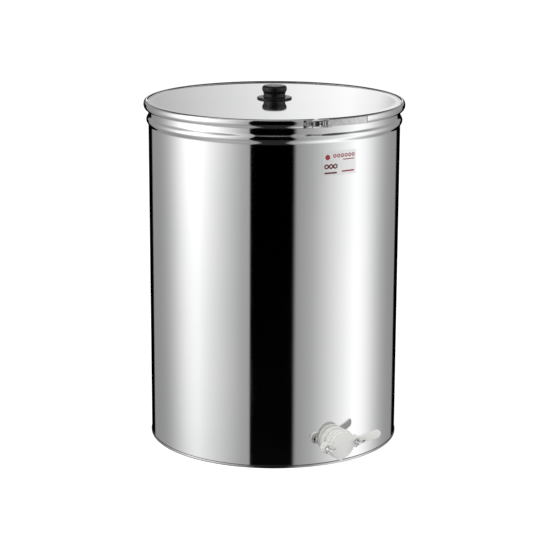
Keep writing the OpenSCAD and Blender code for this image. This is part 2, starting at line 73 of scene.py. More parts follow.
class Wire:
    def __init__(self, tree, socket=None):
        self.tree = tree
        self.socket = socket

    # any node: its settings are set first, then its sockets
    def node(self, kind, settings=None, inputs=None, out=0):
        made = self.tree.nodes.new(kind)
        for key, value in (settings or {}).items():
            if key == "stops":
                self.setStops(made.color_ramp.elements, value)
            else:
                setattr(made, key, value)
        for key, value in (inputs or {}).items():
            if isinstance(value, Wire):
                self.tree.links.new(value.socket, made.inputs[key])
            else:
                made.inputs[key].default_value = value
        return Wire(self.tree, made.outputs[out])

    def setStops(self, elements, stops):
        for place, colour in stops[1:-1]:
            elements.new(place).color = colour
        for element, (place, colour) in ((elements[0], stops[0]), (elements[-1], stops[-1])):
            element.position = place
            element.color = colour

    def math(self, operation, first, second=0.0):
        return self.node("ShaderNodeMath", {"operation": operation}, {0: first, 1: second})

    def mixed(self, factor, first, second):
        return self.node("ShaderNodeMix", {"data_type": "RGBA"}, {0: factor, 6: first, 7: second}, 2)

    # rises from 0 to 1 between two values of this socket
    def rise(self, low, high):
        sockets = {"Value": self, "From Min": low, "From Max": high}
        return self.node("ShaderNodeMapRange", {"interpolation_type": "SMOOTHSTEP"}, sockets)

    def dot(self, vector):
        return self.node("ShaderNodeVectorMath", {"operation": "DOT_PRODUCT"}, {0: self, 1: vector}, "Value")

    # a vector's x, y and z
    def split(self):
        parts = self.tree.nodes.new("ShaderNodeSeparateXYZ")
        self.tree.links.new(self.socket, parts.inputs[0])
        return [Wire(self.tree, part) for part in parts.outputs]

    def __add__(self, other):
        return self.math("ADD", self, other)

    def __radd__(self, other):
        return self.math("ADD", other, self)

    def __sub__(self, other):
        return self.math("SUBTRACT", self, other)

    def __rsub__(self, other):
        return self.math("SUBTRACT", other, self)

    def __mul__(self, other):
        return self.math("MULTIPLY", self, other)

    def __rmul__(self, other):
        return self.math("MULTIPLY", other, self)

    def __truediv__(self, other):
        return self.math("DIVIDE", self, other)

    def __rpow__(self, other):
        return self.math("POWER", other, self)

    def __abs__(self):
        return self.math("ABSOLUTE", self)


def newFinish(name, constants):
    material = bpy.data.materials.new(name)
    material.use_nodes = True
    shader = material.node_tree.nodes["Principled BSDF"]
    for key, value in constants.items():
        shader.inputs[key].default_value = value
    return material, shader, Wire(material.node_tree)


def feed(shader, links):
    for key, wire in links.items():
        wire.tree.links.new(wire.socket, shader.inputs[key])


def noise(wire, place, stretch, detail):
    scaled = wire.node("ShaderNodeMapping", {}, {"Vector": place, "Scale": stretch})
    return wire.node("ShaderNodeTexNoise", {}, {"Vector": scaled, "Scale": 1.0, "Detail": detail})


# first value where the share is 0, second where it is 1
def blend(first, second, share):
    return first + (second - first) * share


# Camera, on the tank's axis at the photograph's angle

view = {"azimuth": -28.0, "distance": 3.83, "height": 1.297, "pitch": 14.014, "lens": 121.2, "roll": 0.25,
        "sideways": 1.33, "imageSide": 550, "sensor": 36.0}

viewAngle = math.radians(view["azimuth"])
towardsCamera = Vector((math.sin(viewAngle), -math.cos(viewAngle), 0))
cameraRight = Vector((math.cos(viewAngle), math.sin(viewAngle), 0))


def makeCamera():
    data = bpy.data.cameras.new("camera")
    data.lens = view["lens"]
    data.sensor_width = view["sensor"]
    camera = addObject("camera", data)
    yaw = math.atan(view["sideways"] * view["sensor"] / view["imageSide"] / view["lens"])
    turn = Matrix.Rotation(viewAngle - yaw, 4, "Z")
    tilt = Matrix.Rotation(math.radians(90 - view["pitch"]), 4, "X")
    roll = Matrix.Rotation(math.radians(view["roll"]), 4, "Z")
    place = Matrix.Translation(towardsCamera * view["distance"] + Vector((0, 0, view["height"])))
    camera.matrix_world = place @ turn @ tilt @ roll
    scene.camera = camera


makeCamera()
print("camera set")


# Studio: what the polished steel mirrors, and the light that falls on the rest

# angles are in degrees from the camera's side and slopes are per degree;
# the rest are levels or shares of light
studio = {"gap": 21.8, "gapIn": 0.8, "gapInRight": 4.5, "gapOut": 0.7, "gapOutRight": 1.2, "boxMid": 77.6,
          "boxTilt": 2.9, "boxFlat": 1.5, "boxFall": 0.0188, "easeFrom": 45.0, "easeBack": 0.008,
          "boxSpread": 30.0, "boxLow": 0.30, "boxHigh": 1.163, "leftHigh": 1.68, "leftLow": 0.90,
          "leftFoot": 0.50, "leftOver": 0.42, "backFrom": 148.3, "backSoft": 3.0, "backMost": 1.2,
          "zenith": 0.08, "ceiling": 0.50, "frontFloor": 0.022, "fill": 0.55}
# where a direction's part or angle fades from one look of the studio to the next
fades = {"half": (-0.01, 0.01), "leftUpper": (-0.36, -0.17), "leftLower": (-0.70, -0.33),
         "gapSide": (0.08, 0.20), "frontFloor": (-0.50, -0.30), "facing": (120.0, 150.0),
         "front": (0.40, 0.58), "browAhead": (-0.15, 0.15), "leftTop": (0.90, 0.98),
         "middle": (0.20, 0.30), "middleSide": (0.35, 0.55), "skylight": (0.93, 0.97),
         "skyAhead": (-0.20, -0.05), "skyline": (0.0, 0.06)}
# heights between which the ceiling takes over, and how much higher they are ahead and in front
brow = {"from": 0.25, "fromAhead": 0.22, "fromFront": 0.27, "to": 0.66, "toFront": 0.18}
# what the lid mirrors, from left to right
backdrop = ((-0.30, 0.32), (-0.20, 0.05), (-0.10, 0.05), (-0.085, 0.44), (-0.045, 0.66), (0.046, 1.06),
            (0.064, 0.92), (0.074, 0.62), (0.09, 0.05), (0.19, 0.05), (0.30, 0.32))


def makeWorld():
    world = bpy.data.worlds.new("studio")
    scene.world = world
    world.use_nodes = True
    tree = world.node_tree
    wire = Wire(tree)
    way = wire.node("ShaderNodeTexCoord", {}, {}, "Generated")
    side = way.dot(cameraRight)
    ahead = way.dot(towardsCamera)
    up = way.dot(Vector((0, 0, 1)))
    rightHalf = side.rise(*fades["half"])
    angle = abs(wire.math("ARCTAN2", side, ahead)) * math.degrees(1)
    # a tall soft box on each side, brightest at its middle, with black between them and behind the tank
    off = studio["boxMid"] + studio["boxTilt"] * (2 * rightHalf - 1) - angle
    fall = studio["boxFall"] * wire.math("MAXIMUM", off - studio["boxFlat"], 0.0)
    ease = studio["easeBack"] * wire.math("MAXIMUM", off - studio["easeFrom"], 0.0)
    far = wire.math("MINIMUM", off, 0.0) / studio["boxSpread"]
    lobe = (1 - fall + ease) * math.e ** (0 - far * far)
    leftPeak = blend(studio["leftLow"], studio["leftHigh"], up.rise(*fades["leftUpper"]))
    leftPeak = blend(studio["leftFoot"], leftPeak, up.rise(*fades["leftLower"]))
    boxes = blend(studio["boxLow"], blend(leftPeak, studio["boxHigh"], rightHalf), lobe)
    gapFrom = studio["gap"] - studio["gapIn"] - studio["gapInRight"] * rightHalf
    gapTo = studio["gap"] + studio["gapOut"] - studio["gapOutRight"] * rightHalf
    gap = angle.rise(gapFrom, gapTo) * abs(side).rise(*fades["gapSide"])
    back = 1 - angle.rise(studio["backFrom"], studio["backFrom"] + studio["backSoft"])
    low = boxes * gap * back + studio["frontFloor"] * (1 - gap) * (1 - up.rise(*fades["frontFloor"]))
    # over the horizon: a backdrop that brightens to the right, and a dark ceiling that the left box runs into
    first, last = backdrop[0][0], backdrop[-1][0]
    shades = [(place, level / studio["backMost"]) for place, level in backdrop]
    stops = [((place - first) / (last - first), (shade, shade, shade, 1)) for place, shade in shades]
    share = (side - first) / (last - first)
    behind = studio["backMost"] * wire.node("ShaderNodeValToRGB", {"stops": stops}, {0: share}).dot((1, 0, 0))
    high = blend(low, behind, angle.rise(*fades["facing"]))
    front = ahead.rise(*fades["front"])
    browFrom = brow["from"] + brow["fromAhead"] * ahead.rise(*fades["browAhead"]) + brow["fromFront"] * front
    leftOver = studio["leftOver"] * (1 - rightHalf) * lobe * (1 - up.rise(*fades["leftTop"]))
    overHead = up.rise(browFrom, brow["to"] + brow["toFront"] * front) * (1 - leftOver)
    middle = ahead.rise(*fades["middle"]) * (1 - abs(side).rise(*fades["middleSide"]))
    skylight = up.rise(*fades["skylight"]) * (1 - ahead.rise(*fades["skyAhead"]))
    ceiling = blend(studio["zenith"], studio["ceiling"], wire.math("MAXIMUM", middle, skylight))
    high = blend(high, ceiling, overHead)
    mirrored = blend(low, high, up.rise(*fades["skyline"]))
    # mirrors see the studio, the camera sees white and everything else an even fill
    path = tree.nodes.new("ShaderNodeLightPath")
    glossy, through, camera = [Wire(tree, path.outputs["Is " + kind + " Ray"])
                               for kind in ("Glossy", "Transmission", "Camera")]
    level = blend(studio["fill"], mirrored, wire.math("MAXIMUM", glossy, through))
    level = blend(level, 1, camera)
    tree.links.new(level.socket, tree.nodes["Background"].inputs["Color"])


# Lamps, placed ahead of the tank's axis, to its right and up; they aim at the middle of the wall
lamps = {"keyLamp": {"ahead": 1.6, "right": -1.6, "up": 2.4, "watts": 42.0, "size": 1.8},
         "rimLamp": {"ahead": 0.6, "right": 2.2, "up": 1.8, "watts": 20.0, "size": 1.8}}
lampAim = Vector((0, 0, 0.35))


def makeLamp(name, sizes):
    data = bpy.data.lights.new(name, "AREA")
    data.energy = sizes["watts"]
    data.size = sizes["size"]
    lamp = addObject(name, data)
    place = towardsCamera * sizes["ahead"] + cameraRight * sizes["right"] + Vector((0, 0, sizes["up"]))
    lamp.location = place
    lamp.rotation_euler = (lampAim - place).to_track_quat("-Z", "Y").to_euler()
    lamp.visible_glossy = False


# Floor: pale, and lifted to white for the camera
paleFloor = {"half": 30.0, "tone": 0.8, "glow": 0.62}


def makeFloor():
    far, tone = paleFloor["half"], paleFloor["tone"]
    mesh = bpy.data.meshes.new("floor")
    mesh.from_pydata([(-far, -far, 0), (far, -far, 0), (far, far, 0), (-far, far, 0)], [], [(0, 1, 2, 3)])
    floor = addObject("floor", mesh)
    material = bpy.data.materials.new("paleFloor")
    material.use_nodes = True
    tree = material.node_tree
    tree.nodes.remove(tree.nodes["Principled BSDF"])
    wire = Wire(tree)
    matt = wire.node("ShaderNodeBsdfDiffuse", {}, {"Color": (tone, tone, tone, 1)})
    glow = wire.node("ShaderNodeEmission", {}, {"Color": (1, 1, 1, 1), "Strength": paleFloor["glow"]})
    lifted = wire.node("ShaderNodeAddShader", {}, {0: matt, 1: glow})
    camera = wire.node("ShaderNodeLightPath", {}, {}, "Is Camera Ray")
    both = wire.node("ShaderNodeMixShader", {}, {0: camera, 1: matt, 2: lifted})
    tree.links.new(both.socket, tree.nodes["Material Output"].inputs["Surface"])
    mesh.materials.append(material)
    floor.visible_glossy = False


makeWorld()
for name, sizes in lamps.items():
    makeLamp(name, sizes)
makeFloor()
print("studio set")


# Finishes

def objectPlace(wire):
    return wire.node("ShaderNodeTexCoord", {}, {}, "Object")


# seam: how strongly a planished weld shows down the back of the wall
def polishedSteel(name, seam):
    material, shader, wire = newFinish(name, {"Metallic": 1.0})
    place = objectPlace(wire)
    lines = noise(wire, place, (500, 500, 3), 3.0)
    cloud = noise(wire, place, (6, 6, 4), 4.0)
    wave = noise(wire, place, (3, 3, 2), 1.0)
    weld = seam * (1 - abs(place.dot((1, 0, 0))).rise(0.0015, 0.0035)) * place.dot((0, 1, 0)).rise(0.1, 0.12)
    tone = wire.mixed(cloud.rise(0.3, 0.7), (0.84, 0.845, 0.85, 1), (0.875, 0.875, 0.875, 1))
    roughness = 0.045 + 0.03 * cloud.rise(0.35, 0.75) + 0.02 * lines + 0.16 * weld
    height = wave + 0.002 * lines + 0.25 * weld
    bump = wire.node("ShaderNodeBump", {}, {"Strength": 0.08, "Distance": 0.0008, "Height": height})
    feed(shader, {"Base Color": tone, "Roughness": roughness, "Normal": bump})
    return material


# hem of the bottom: rougher than the wall, its base tone painted darker for a darker reflection, with painted
# shade where it closes on the wall and a painted contact shadow at the ground
def hemSteel(name, hemTop):
    material, shader, wire = newFinish(name, {"Metallic": 1.0})
    place = objectPlace(wire)
    tall = place.dot((0, 0, 1))
    lines = noise(wire, place, (40, 40, 900), 3.0)
    cloud = noise(wire, place, (25, 25, 25), 3.0)
    # painted shade: a dark line along the crease where the hem closes on the wall
    creaseShade = tall.rise(hemTop - 1.9 * mm, hemTop - 0.7 * mm)
    # painted contact shadow: a dark band where the hem meets the ground
    contactShadow = 1 - tall.rise(0.2 * mm, 1.4 * mm)
    # base tone darker than the wall's: a painted darker reflection
    tone = wire.mixed(cloud.rise(0.3, 0.7), (0.60, 0.60, 0.605, 1), (0.68, 0.68, 0.68, 1))
    # painted shade and painted contact shadow mixed in as near black
    tone = wire.mixed(0.85 * creaseShade + 0.6 * contactShadow, tone, (0.06, 0.06, 0.06, 1))
    roughness = 0.12 + 0.08 * cloud + 0.05 * lines
    bump = wire.node("ShaderNodeBump", {}, {"Strength": 0.1, "Distance": 0.0002, "Height": lines})
    feed(shader, {"Base Color": tone, "Roughness": roughness, "Normal": bump})
    return material


# a tone that drifts between two ends in soft clouds, under a fine grain
def grained(name, constants, tones, look):
    material, shader, wire = newFinish(name, constants)
    place = objectPlace(wire)
    grain = noise(wire, place, (look["grain"],) * 3, look["detail"])
    cloud = noise(wire, place, (look["cloud"],) * 3, 3.0)
    drift = cloud.rise(0.3, 0.7) if look["strong"] else cloud
    roughness = look["rough"] + look["cloudRough"] * cloud + look["grainRough"] * grain
    bump = wire.node("ShaderNodeBump", {}, {"Strength": look["bump"], "Distance": 0.0001, "Height": grain})
    feed(shader, {"Base Color": wire.mixed(drift, *tones), "Roughness": roughness, "Normal": bump})
    return material


# dark and light: the ends of the base tone's range; rough: the least roughness
def brightSteel(name, dark, light, rough):
    look = {"grain": 900, "detail": 2.0, "cloud": 120, "strong": True, "rough": rough, "cloudRough": 0.07,
            "grainRough": 0.04, "bump": 0.15}
    return grained(name, {"Metallic": 1.0}, [(dark, dark, dark, 1), (light, light, light, 1)], look)


def mouldedNylon(name):
    look = {"grain": 1600, "detail": 2.0, "cloud": 45, "strong": True, "rough": 0.40, "cloudRough": 0.10,
            "grainRough": 0.05, "bump": 0.12}
    return grained(name, {"IOR": 1.53}, [(0.81, 0.807, 0.782, 1), (0.85, 0.848, 0.828, 1)], look)


def blackPlastic(name):
    look = {"grain": 2200, "detail": 2.0, "cloud": 60, "strong": False, "rough": 0.22, "cloudRough": 0.08,
            "grainRough": 0.0, "bump": 0.15}
    shine = {"IOR": 1.5, "Specular IOR Level": 0.35}
    return grained(name, shine, [(0.003, 0.003, 0.0032, 1), (0.007, 0.007, 0.0072, 1)], look)


# dark and light: the ends of the base tone's range
def sealRubber(name, dark, light):
    look = {"grain": 1500, "detail": 3.0, "cloud": 80, "strong": False, "rough": 0.48, "cloudRough": 0.15,
            "grainRough": 0.0, "bump": 0.3}
    return grained(name, {}, [dark, light], look)


# silver film with a generic print: honeycomb cells and rules where the words would be
def printedFilm(name):
    material, shader, wire = newFinish(name, {})
    place = wire.node("ShaderNodeUVMap", {"uv_map": "print"})
    u, v = place.dot((1, 0, 0)), place.dot((0, 1, 0))
    soft, aspect = 0.012, 1.59

    def rule(left, right, low, high):
        across = u.rise(left - soft, left + soft) - u.rise(right - soft, right + soft)
        return across * (v.rise(low - soft, low + soft) - v.rise(high - soft, high + soft))

    def cell(midU, midV, size):
        across, upright = abs((u - midU) * aspect), abs(v - midV)
        reach = wire.math("MAXIMUM", 1.155 * across, 0.577 * across + upright)
        return 1 - reach.rise(size - soft, size + soft)

    # a row of cells, each with a hole
    def comb(count, firstU, stepU, midV, size, hole):
        row = 0.0
        for i in range(count):
            midU = firstU + stepU * i
            row = row + cell(midU, midV, size) - cell(midU, midV, hole)
        return row

    red = cell(0.155, 0.76, 0.12) + rule(0.60, 0.95, 0.615, 0.655) + rule(0.57, 0.95, 0.12, 0.18)
    red = red + comb(6, 0.355, 0.112, 0.80, 0.085, 0.038)
    dark = rule(0.07, 0.42, 0.08, 0.15) + comb(3, 0.125, 0.125, 0.38, 0.115, 0.050)
    objectAt = objectPlace(wire)
    cloud = noise(wire, objectAt, (60, 60, 60), 3.0)
    tone = wire.mixed(cloud, (0.80, 0.80, 0.80, 1), (0.86, 0.86, 0.86, 1))
    tone = wire.mixed(red, tone, (0.30, 0.03, 0.035, 1))
    tone = wire.mixed(dark, tone, (0.11, 0.016, 0.018, 1))
    foil = 0.85 - 0.85 * (red + dark)
    feed(shader, {"Base Color": tone, "Metallic": foil, "Roughness": 0.30 + 0.08 * cloud})
    return material


finishOf = {
    "polished_steel": polishedSteel("plateSteel", 0.0),
    "latch_steel": brightSteel("latchSteel", 0.50, 0.60, 0.14),
    "bolt_steel": brightSteel("boltSteel", 0.84, 0.93, 0.02),
    "white_nylon": mouldedNylon("whiteNylon"),
    "seal_rubber": sealRubber("sealRubber", (0.66, 0.65, 0.61, 1), (0.74, 0.73, 0.69, 1)),
    "lid_rubber": sealRubber("lidRubber", (0.018, 0.018, 0.018, 1), (0.03, 0.03, 0.03, 1)),
    "black_plastic": blackPlastic("blackPlastic"),
    "label_film": printedFilm("labelFilm"),
}
for name, node in cadNodes.items():
    node.data.materials.clear()
    node.data.materials.append(finishOf[slotOf[name]])
wallSteel = polishedSteel("wallSteel", 1.0)
print("finishes made")


# Node trees: the first input is the piece's own mesh, the last its finish

def newTree(name, inputs, output):
    tree = bpy.data.node_groups.new(name, "GeometryNodeTree")
    for label, kind in (*inputs, ("Finish", "Material")):
        tree.interface.new_socket(label, in_out="INPUT", socket_type="NodeSocket" + kind)
    tree.interface.new_socket(output, in_out="OUTPUT", socket_type="NodeSocketGeometry")
    given = tree.nodes.new("NodeGroupInput")
    return Wire(tree), {socket.name: Wire(tree, socket) for socket in given.outputs if socket.name}


def endTree(made, finish):
    real = made.node("GeometryNodeRealizeInstances", {}, {"Geometry": made})
    dressed = made.node("GeometryNodeSetMaterial", {}, {"Geometry": real, "Material": finish})
    done = made.tree.nodes.new("NodeGroupOutput")
    made.tree.links.new(dressed.socket, done.inputs[0])
    return made.tree


# sheet of points, with each point's share of the way across it and up it
def newSheet(wire, columns, rows):
    sizes = {"Size X": 1.0, "Size Y": 1.0, "Vertices X": columns, "Vertices Y": rows}
    across, upward, flat = wire.node("GeometryNodeInputPosition").split()
    return wire.node("GeometryNodeMeshGrid", {}, sizes), across + 0.5, upward + 0.5


# sheet moved to new places, its edges welded where they meet
def wrapSheet(sheet, x, y, z):
    place = sheet.node("ShaderNodeCombineXYZ", {}, {"X": x, "Y": y, "Z": z})
    moved = sheet.node("GeometryNodeSetPosition", {}, {"Geometry": sheet, "Position": place})
    return sheet.node("GeometryNodeMergeByDistance", {}, {"Geometry": moved, "Distance": samePoint})


# turns a profile of (radius, height) points about the tank's axis
def makeLathe():
    inputs = [("Profile", "Geometry"), ("Points", "Int"), ("Steps", "Int"), ("Start", "Float"),
              ("Sweep", "Float")]
    wire, take = newTree("lathe", inputs, "Turned")
    sheet, along, upward = newSheet(wire, take["Steps"] + 1, take["Points"])
    index = wire.math("ROUND", upward * (take["Points"] - 1))
    spot = {"Geometry": take["Profile"], "Value": wire.node("GeometryNodeInputPosition"), "Index": index}
    radius, flat, height = wire.node("GeometryNodeSampleIndex", {"data_type": "FLOAT_VECTOR"}, spot).split()
    angle = take["Start"] + take["Sweep"] * along
    x = radius * wire.math("SINE", angle)
    y = 0 - radius * wire.math("COSINE", angle)
    return endTree(wrapSheet(sheet, x, y, height), take["Finish"])


lathe = makeLathe()


# Outline through corners (a, b, fillet radius), each corner an arc where it has a radius,
# with a point a little before and after it that keeps the shading of the flats flat
def rounded(corners, closed=False, steps=6):
    points = []
    count = len(corners)
    for i, (a, b, radius) in enumerate(corners):
        here = Vector((a, b))
        ends = not closed and i in (0, count - 1)
        if ends or radius <= 0:
            points.append(here)
            continue
        before = Vector(corners[i - 1][:2]) - here
        after = Vector(corners[(i + 1) % count][:2]) - here
        half = before.angle(after) / 2
        reach = radius / math.tan(half)
        middle = here + (before.normalized() + after.normalized()).normalized() * radius / math.sin(half)
        first = here + before.normalized() * reach - middle
        last = here + after.normalized() * reach - middle
        sweep = first.angle_signed(last)
        guard = reach + 0.3 * radius
        room = 2.2 * guard
        if before.length > room:
            points.append(here + before.normalized() * guard)
        for step in range(steps + 1):
            turn = Matrix.Rotation(-sweep * step / steps, 2)
            points.append(middle + turn @ first)
        if after.length > room:
            points.append(here + after.normalized() * guard)
    return points


# points on an arc whose two half axes differ, turned in degrees
def arcLine(middle, wide, tall, start, end, steps):
    turns = [math.radians(start + (end - start) * step / steps) for step in range(steps + 1)]
    return [Vector((middle[0] + wide * math.cos(turn), middle[1] + tall * math.sin(turn))) for turn in turns]


def applied(piece):
    graph = bpy.context.evaluated_depsgraph_get()
    graph.update()
    piece.data = bpy.data.meshes.new_from_object(piece.evaluated_get(graph))
    piece.modifiers.clear()


def runNodes(piece, tree, values):
    modifier = piece.modifiers.new("nodes", "NODES")
    modifier.node_group = tree
    for socket in tree.interface.items_tree:
        if socket.in_out == "INPUT" and socket.name in values:
            modifier[socket.identifier] = values[socket.name]
    applied(piece)


def smooth(mesh, degrees=30):
    mesh.shade_smooth()
    mesh.set_sharp_from_angle(angle=math.radians(degrees))


# welds points that meet and turns every face outwards, with open ends capped first if asked
def settle(mesh, cap=False):
    work = bmesh.new()
    work.from_mesh(mesh)
    if cap:
        bmesh.ops.holes_fill(work, edges=work.edges, sides=0)
    bmesh.ops.remove_doubles(work, verts=work.verts, dist=samePoint)
    bmesh.ops.recalc_face_normals(work, faces=work.faces)
    work.to_mesh(mesh)
    work.free()


# closed profile, given once round; a part turn gets end caps
def turned(name, profile, finish, steps, start=0.0, sweep=360.0, place=Matrix()):
    ring = [*profile, profile[0]]
    mesh = bpy.data.meshes.new(name)
    mesh.from_pydata([(r, 0, z) for r, z in ring], [(i, i + 1) for i in range(len(ring) - 1)], [])
    piece = addObject(name, mesh)
    runNodes(piece, lathe, {"Points": len(ring), "Steps": steps, "Start": math.radians(start),
                            "Sweep": math.radians(sweep), "Finish": finish})
    settle(piece.data, cap=sweep < 360)
    piece.data.transform(place)
    smooth(piece.data)
    return piece


# profile of a plain rod on the axis
def rodLine(radius, low, high):
    return [Vector((0, low)), Vector((radius, low)), Vector((radius, high)), Vector((0, high))]


def standFor(piece, *names):
    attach(piece, bodyOf[names[0]])
    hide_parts(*names)


# cuts another solid out of a piece, or welds it on; the other solid is used up
def joinSolid(piece, other, operation):
    step = piece.modifiers.new("join", "BOOLEAN")
    step.object = other
    step.operation = operation
    step.solver = "EXACT"
    applied(piece)
    bpy.data.objects.remove(other)


# Outlines drawn as signed distances, negative inside

def disc(x, y, middle, radius):
    return np.hypot(x - middle[0], y - middle[1]) - radius


# bar with round ends, whose radius runs from one to the other
def bar(x, y, start, end, startR, endR):
    alongX, alongY = end[0] - start[0], end[1] - start[1]
    share = ((x - start[0]) * alongX + (y - start[1]) * alongY) / (alongX ** 2 + alongY ** 2)
    share = np.clip(share, 0, 1)
    reach = np.hypot(x - start[0] - alongX * share, y - start[1] - alongY * share)
    return reach - startR - (endR - startR) * share


# inside of all the lines through the points, which run anticlockwise
def wedge(x, y, points):
    sides = []
    for (x0, y0), (x1, y1) in zip(points, points[1:] + points[:1]):
        long = math.hypot(x1 - x0, y1 - y0)
        sides.append(((x - x0) * (y1 - y0) - (y - y0) * (x1 - x0)) / long)
    return np.maximum.reduce(sides)


# two outlines run together with a soft neck
def melt(first, second, soft):
    share = np.clip(0.5 + 0.5 * (second - first) / soft, 0, 1)
    return second * (1 - share) + first * share - soft * share * (1 - share)


def carve(first, hole, soft):
    return -melt(-first, hole, soft)


def slope(distance, x, y):
    tiny = 1e-7
    across = (distance(x + tiny, y) - distance(x - tiny, y)) / (2 * tiny)
    upward = (distance(x, y + tiny) - distance(x, y - tiny)) / (2 * tiny)
    steep = np.maximum(np.hypot(across, upward), 1e-6)
    return across / steep, upward / steep, steep


# moves points straight onto the line at this depth inside the outline
def ontoLine(distance, x, y, depth=0.0):
    for again in range(6):
        across, upward, steep = slope(distance, x, y)
        off = (distance(x, y) + depth) / steep
        x, y = x - across * off, y - upward * off
    return x, y


# closed loops along the outline, with even steps
def loopsOf(distance, low, high, cell, step):
    xs = np.arange(low[0], high[0], cell)
    ys = np.arange(low[1], high[1], cell)
    inside = distance(*np.meshgrid(xs, ys, indexing="ij")) < 0
    links = {}
    for i, j in zip(*np.nonzero(inside)):
        around = {(1, 0): ((1, 0), (1, 1)), (0, 1): ((1, 1), (0, 1)),
                  (-1, 0): ((0, 1), (0, 0)), (0, -1): ((0, 0), (1, 0))}
        for (di, dj), (first, last) in around.items():
            if not inside[i + di, j + dj]:
                links.setdefault((i + first[0], j + first[1]), []).append((i + last[0], j + last[1]))
    loops = []
    while links:
        start = here = next(iter(links))
        chain = []
        while True:
            nexts = links[here]
            after = nexts.pop()
            if not nexts:
                del links[here]
            chain.append(here)
            here = after
            if here == start:
                break
        line = np.array(chain, float) * cell + np.array(low) - cell / 2
        for again in range(2):
            x, y = ontoLine(distance, line[:, 0], line[:, 1])
            closed = np.column_stack([np.append(x, x[0]), np.append(y, y[0])])
            run = np.concatenate([[0], np.cumsum(np.hypot(*np.diff(closed, axis=0).T))])
            count = max(12, int(run[-1] / step))
            even = np.linspace(0, run[-1], count, endpoint=False)
            line = np.column_stack([np.interp(even, run, closed[:, 0]), np.interp(even, run, closed[:, 1])])
        loops.append(ontoLine(distance, line[:, 0], line[:, 1]))
    return loops


# plate of an outline between two levels, its edges rounded
# window: how far the outline may reach to the left, down, to the right and up
def plate(name, distance, window, levels, edge, finish, place=Matrix(), step=0.6 * mm, turns=4):
    bottomZ, topZ = levels
    left, down, right, up = window
    loops = loopsOf(distance, (-left, -down), (right, up), step * 0.7, step)
    rows = []
    for turn in range(turns + 1):
        lean = math.radians(90 * turn / turns)
        rows.append((edge * (1 - math.sin(lean)), bottomZ + edge * (1 - math.cos(lean))))
    rows = rows + [(depth, topZ + bottomZ - z) for depth, z in reversed(rows)]
    points, faces, lids = [], [], []
    for loop in loops:
        count = len(loop[0])
        first = len(points)
        for depth, z in rows:
            x, y = ontoLine(distance, *loop, depth)
            points += [(a, b, z) for a, b in zip(x, y)]
        for row in range(len(rows) - 1):
            for i in range(count):
                a, b = first + row * count + i, first + row * count + (i + 1) % count
                faces.append((a, b, b + count, a + count))
        lids.append(range(first, first + count))
    tall = len(rows) - 1
    flat = tessellate_polygon([[Vector(points[i]) for i in lid] for lid in lids])
    order = [i for lid in lids for i in lid]
    raised = [i + tall * len(lid) for lid in lids for i in lid]
    faces += [tuple(order[i] for i in face) for face in flat]
    faces += [tuple(raised[i] for i in reversed(face)) for face in flat]
    mesh = bpy.data.meshes.new(name)
    mesh.from_pydata(points, [], faces)
    mesh.materials.append(finish)
    settle(mesh)
    mesh.transform(place)
    smooth(mesh)
    return addObject(name, mesh)


# angles in degrees: what counts as flat in the CAD mesh, and what as an edge to ease
easing = {"flat": 1, "edge": 40, "segments": 2}


# CAD node with its edges eased
def softened(name, node, width, finish):
    mesh = cadNodes[node].data.copy()
    mesh.materials.clear()
    mesh.materials.append(finish)
    settle(mesh)
    work = bmesh.new()
    work.from_mesh(mesh)
    flat = math.radians(easing["flat"])
    bmesh.ops.dissolve_limit(work, angle_limit=flat, verts=work.verts, edges=work.edges)
    work.to_mesh(mesh)
    work.free()
    piece = addObject(name, mesh)
    ease = piece.modifiers.new("ease", "BEVEL")
    ease.width = width
    ease.segments = easing["segments"]
    ease.limit_method = "ANGLE"
    ease.angle_limit = math.radians(easing["edge"])
    applied(piece)
    smooth(piece.data, easing["edge"])
    standFor(piece, node)


# Tank wall: rolled sheet with a pressed bead and a hem folded in at the rim
wall = {"thick": 1.0 * mm, "beadOut": 4.5 * mm, "beadHigh": 20 * mm, "beadTop": 40 * mm, "beadSpread": 0.58,
        "hemHigh": 9 * mm, "rimEdge": 0.8 * mm, "rimFoot": 2 * mm, "gateBand": 32 * mm, "holeGap": 0.3 * mm,
        "holeReach": 30 * mm, "steps": 360, "beadSteps": 24, "holeSteps": 96}

shellLow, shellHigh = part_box("tank_shell")
ringLow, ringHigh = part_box("closing_ring")
wallR = shellHigh.x - wall["beadOut"]
beadZ = ringHigh.z - wall["beadTop"]


# Gate: sizes that its pieces share; its frame has x to the right, y up and z out of the wall
gate = {"z": 52 * mm, "tilt": 4.0, "boreR": 20 * mm, "stubR": 24 * mm, "boltX": 34 * mm, "boltR": 3 * mm,
        "boltFit": 0.06 * mm, "holeSoft": 0.2 * mm, "lugSoft": 3 * mm, "steps": 128}

gateFrame = (Matrix.Translation((0, -wallR, gate["z"])) @ Matrix.Rotation(math.radians(90), 4, "X")
             @ Matrix.Rotation(math.radians(gate["tilt"]), 4, "Z"))
pivotFrame = gateFrame @ Matrix.Translation((-gate["boltX"], 0, 0))
clampFrame = gateFrame @ Matrix.Translation((gate["boltX"], 0, 0))


# bead on a sheet face of this radius, from its foot to its top: smooth at its roots
def beadLine(radius):
    points = []
    half = wall["beadSpread"] * wall["beadHigh"]
    for step in range(wall["beadSteps"] + 1):
        t = 2 * step / wall["beadSteps"] - 1
        points.append(Vector((radius + wall["beadOut"] * (1 - t * t) ** 2, beadZ + half * t)))
    return points


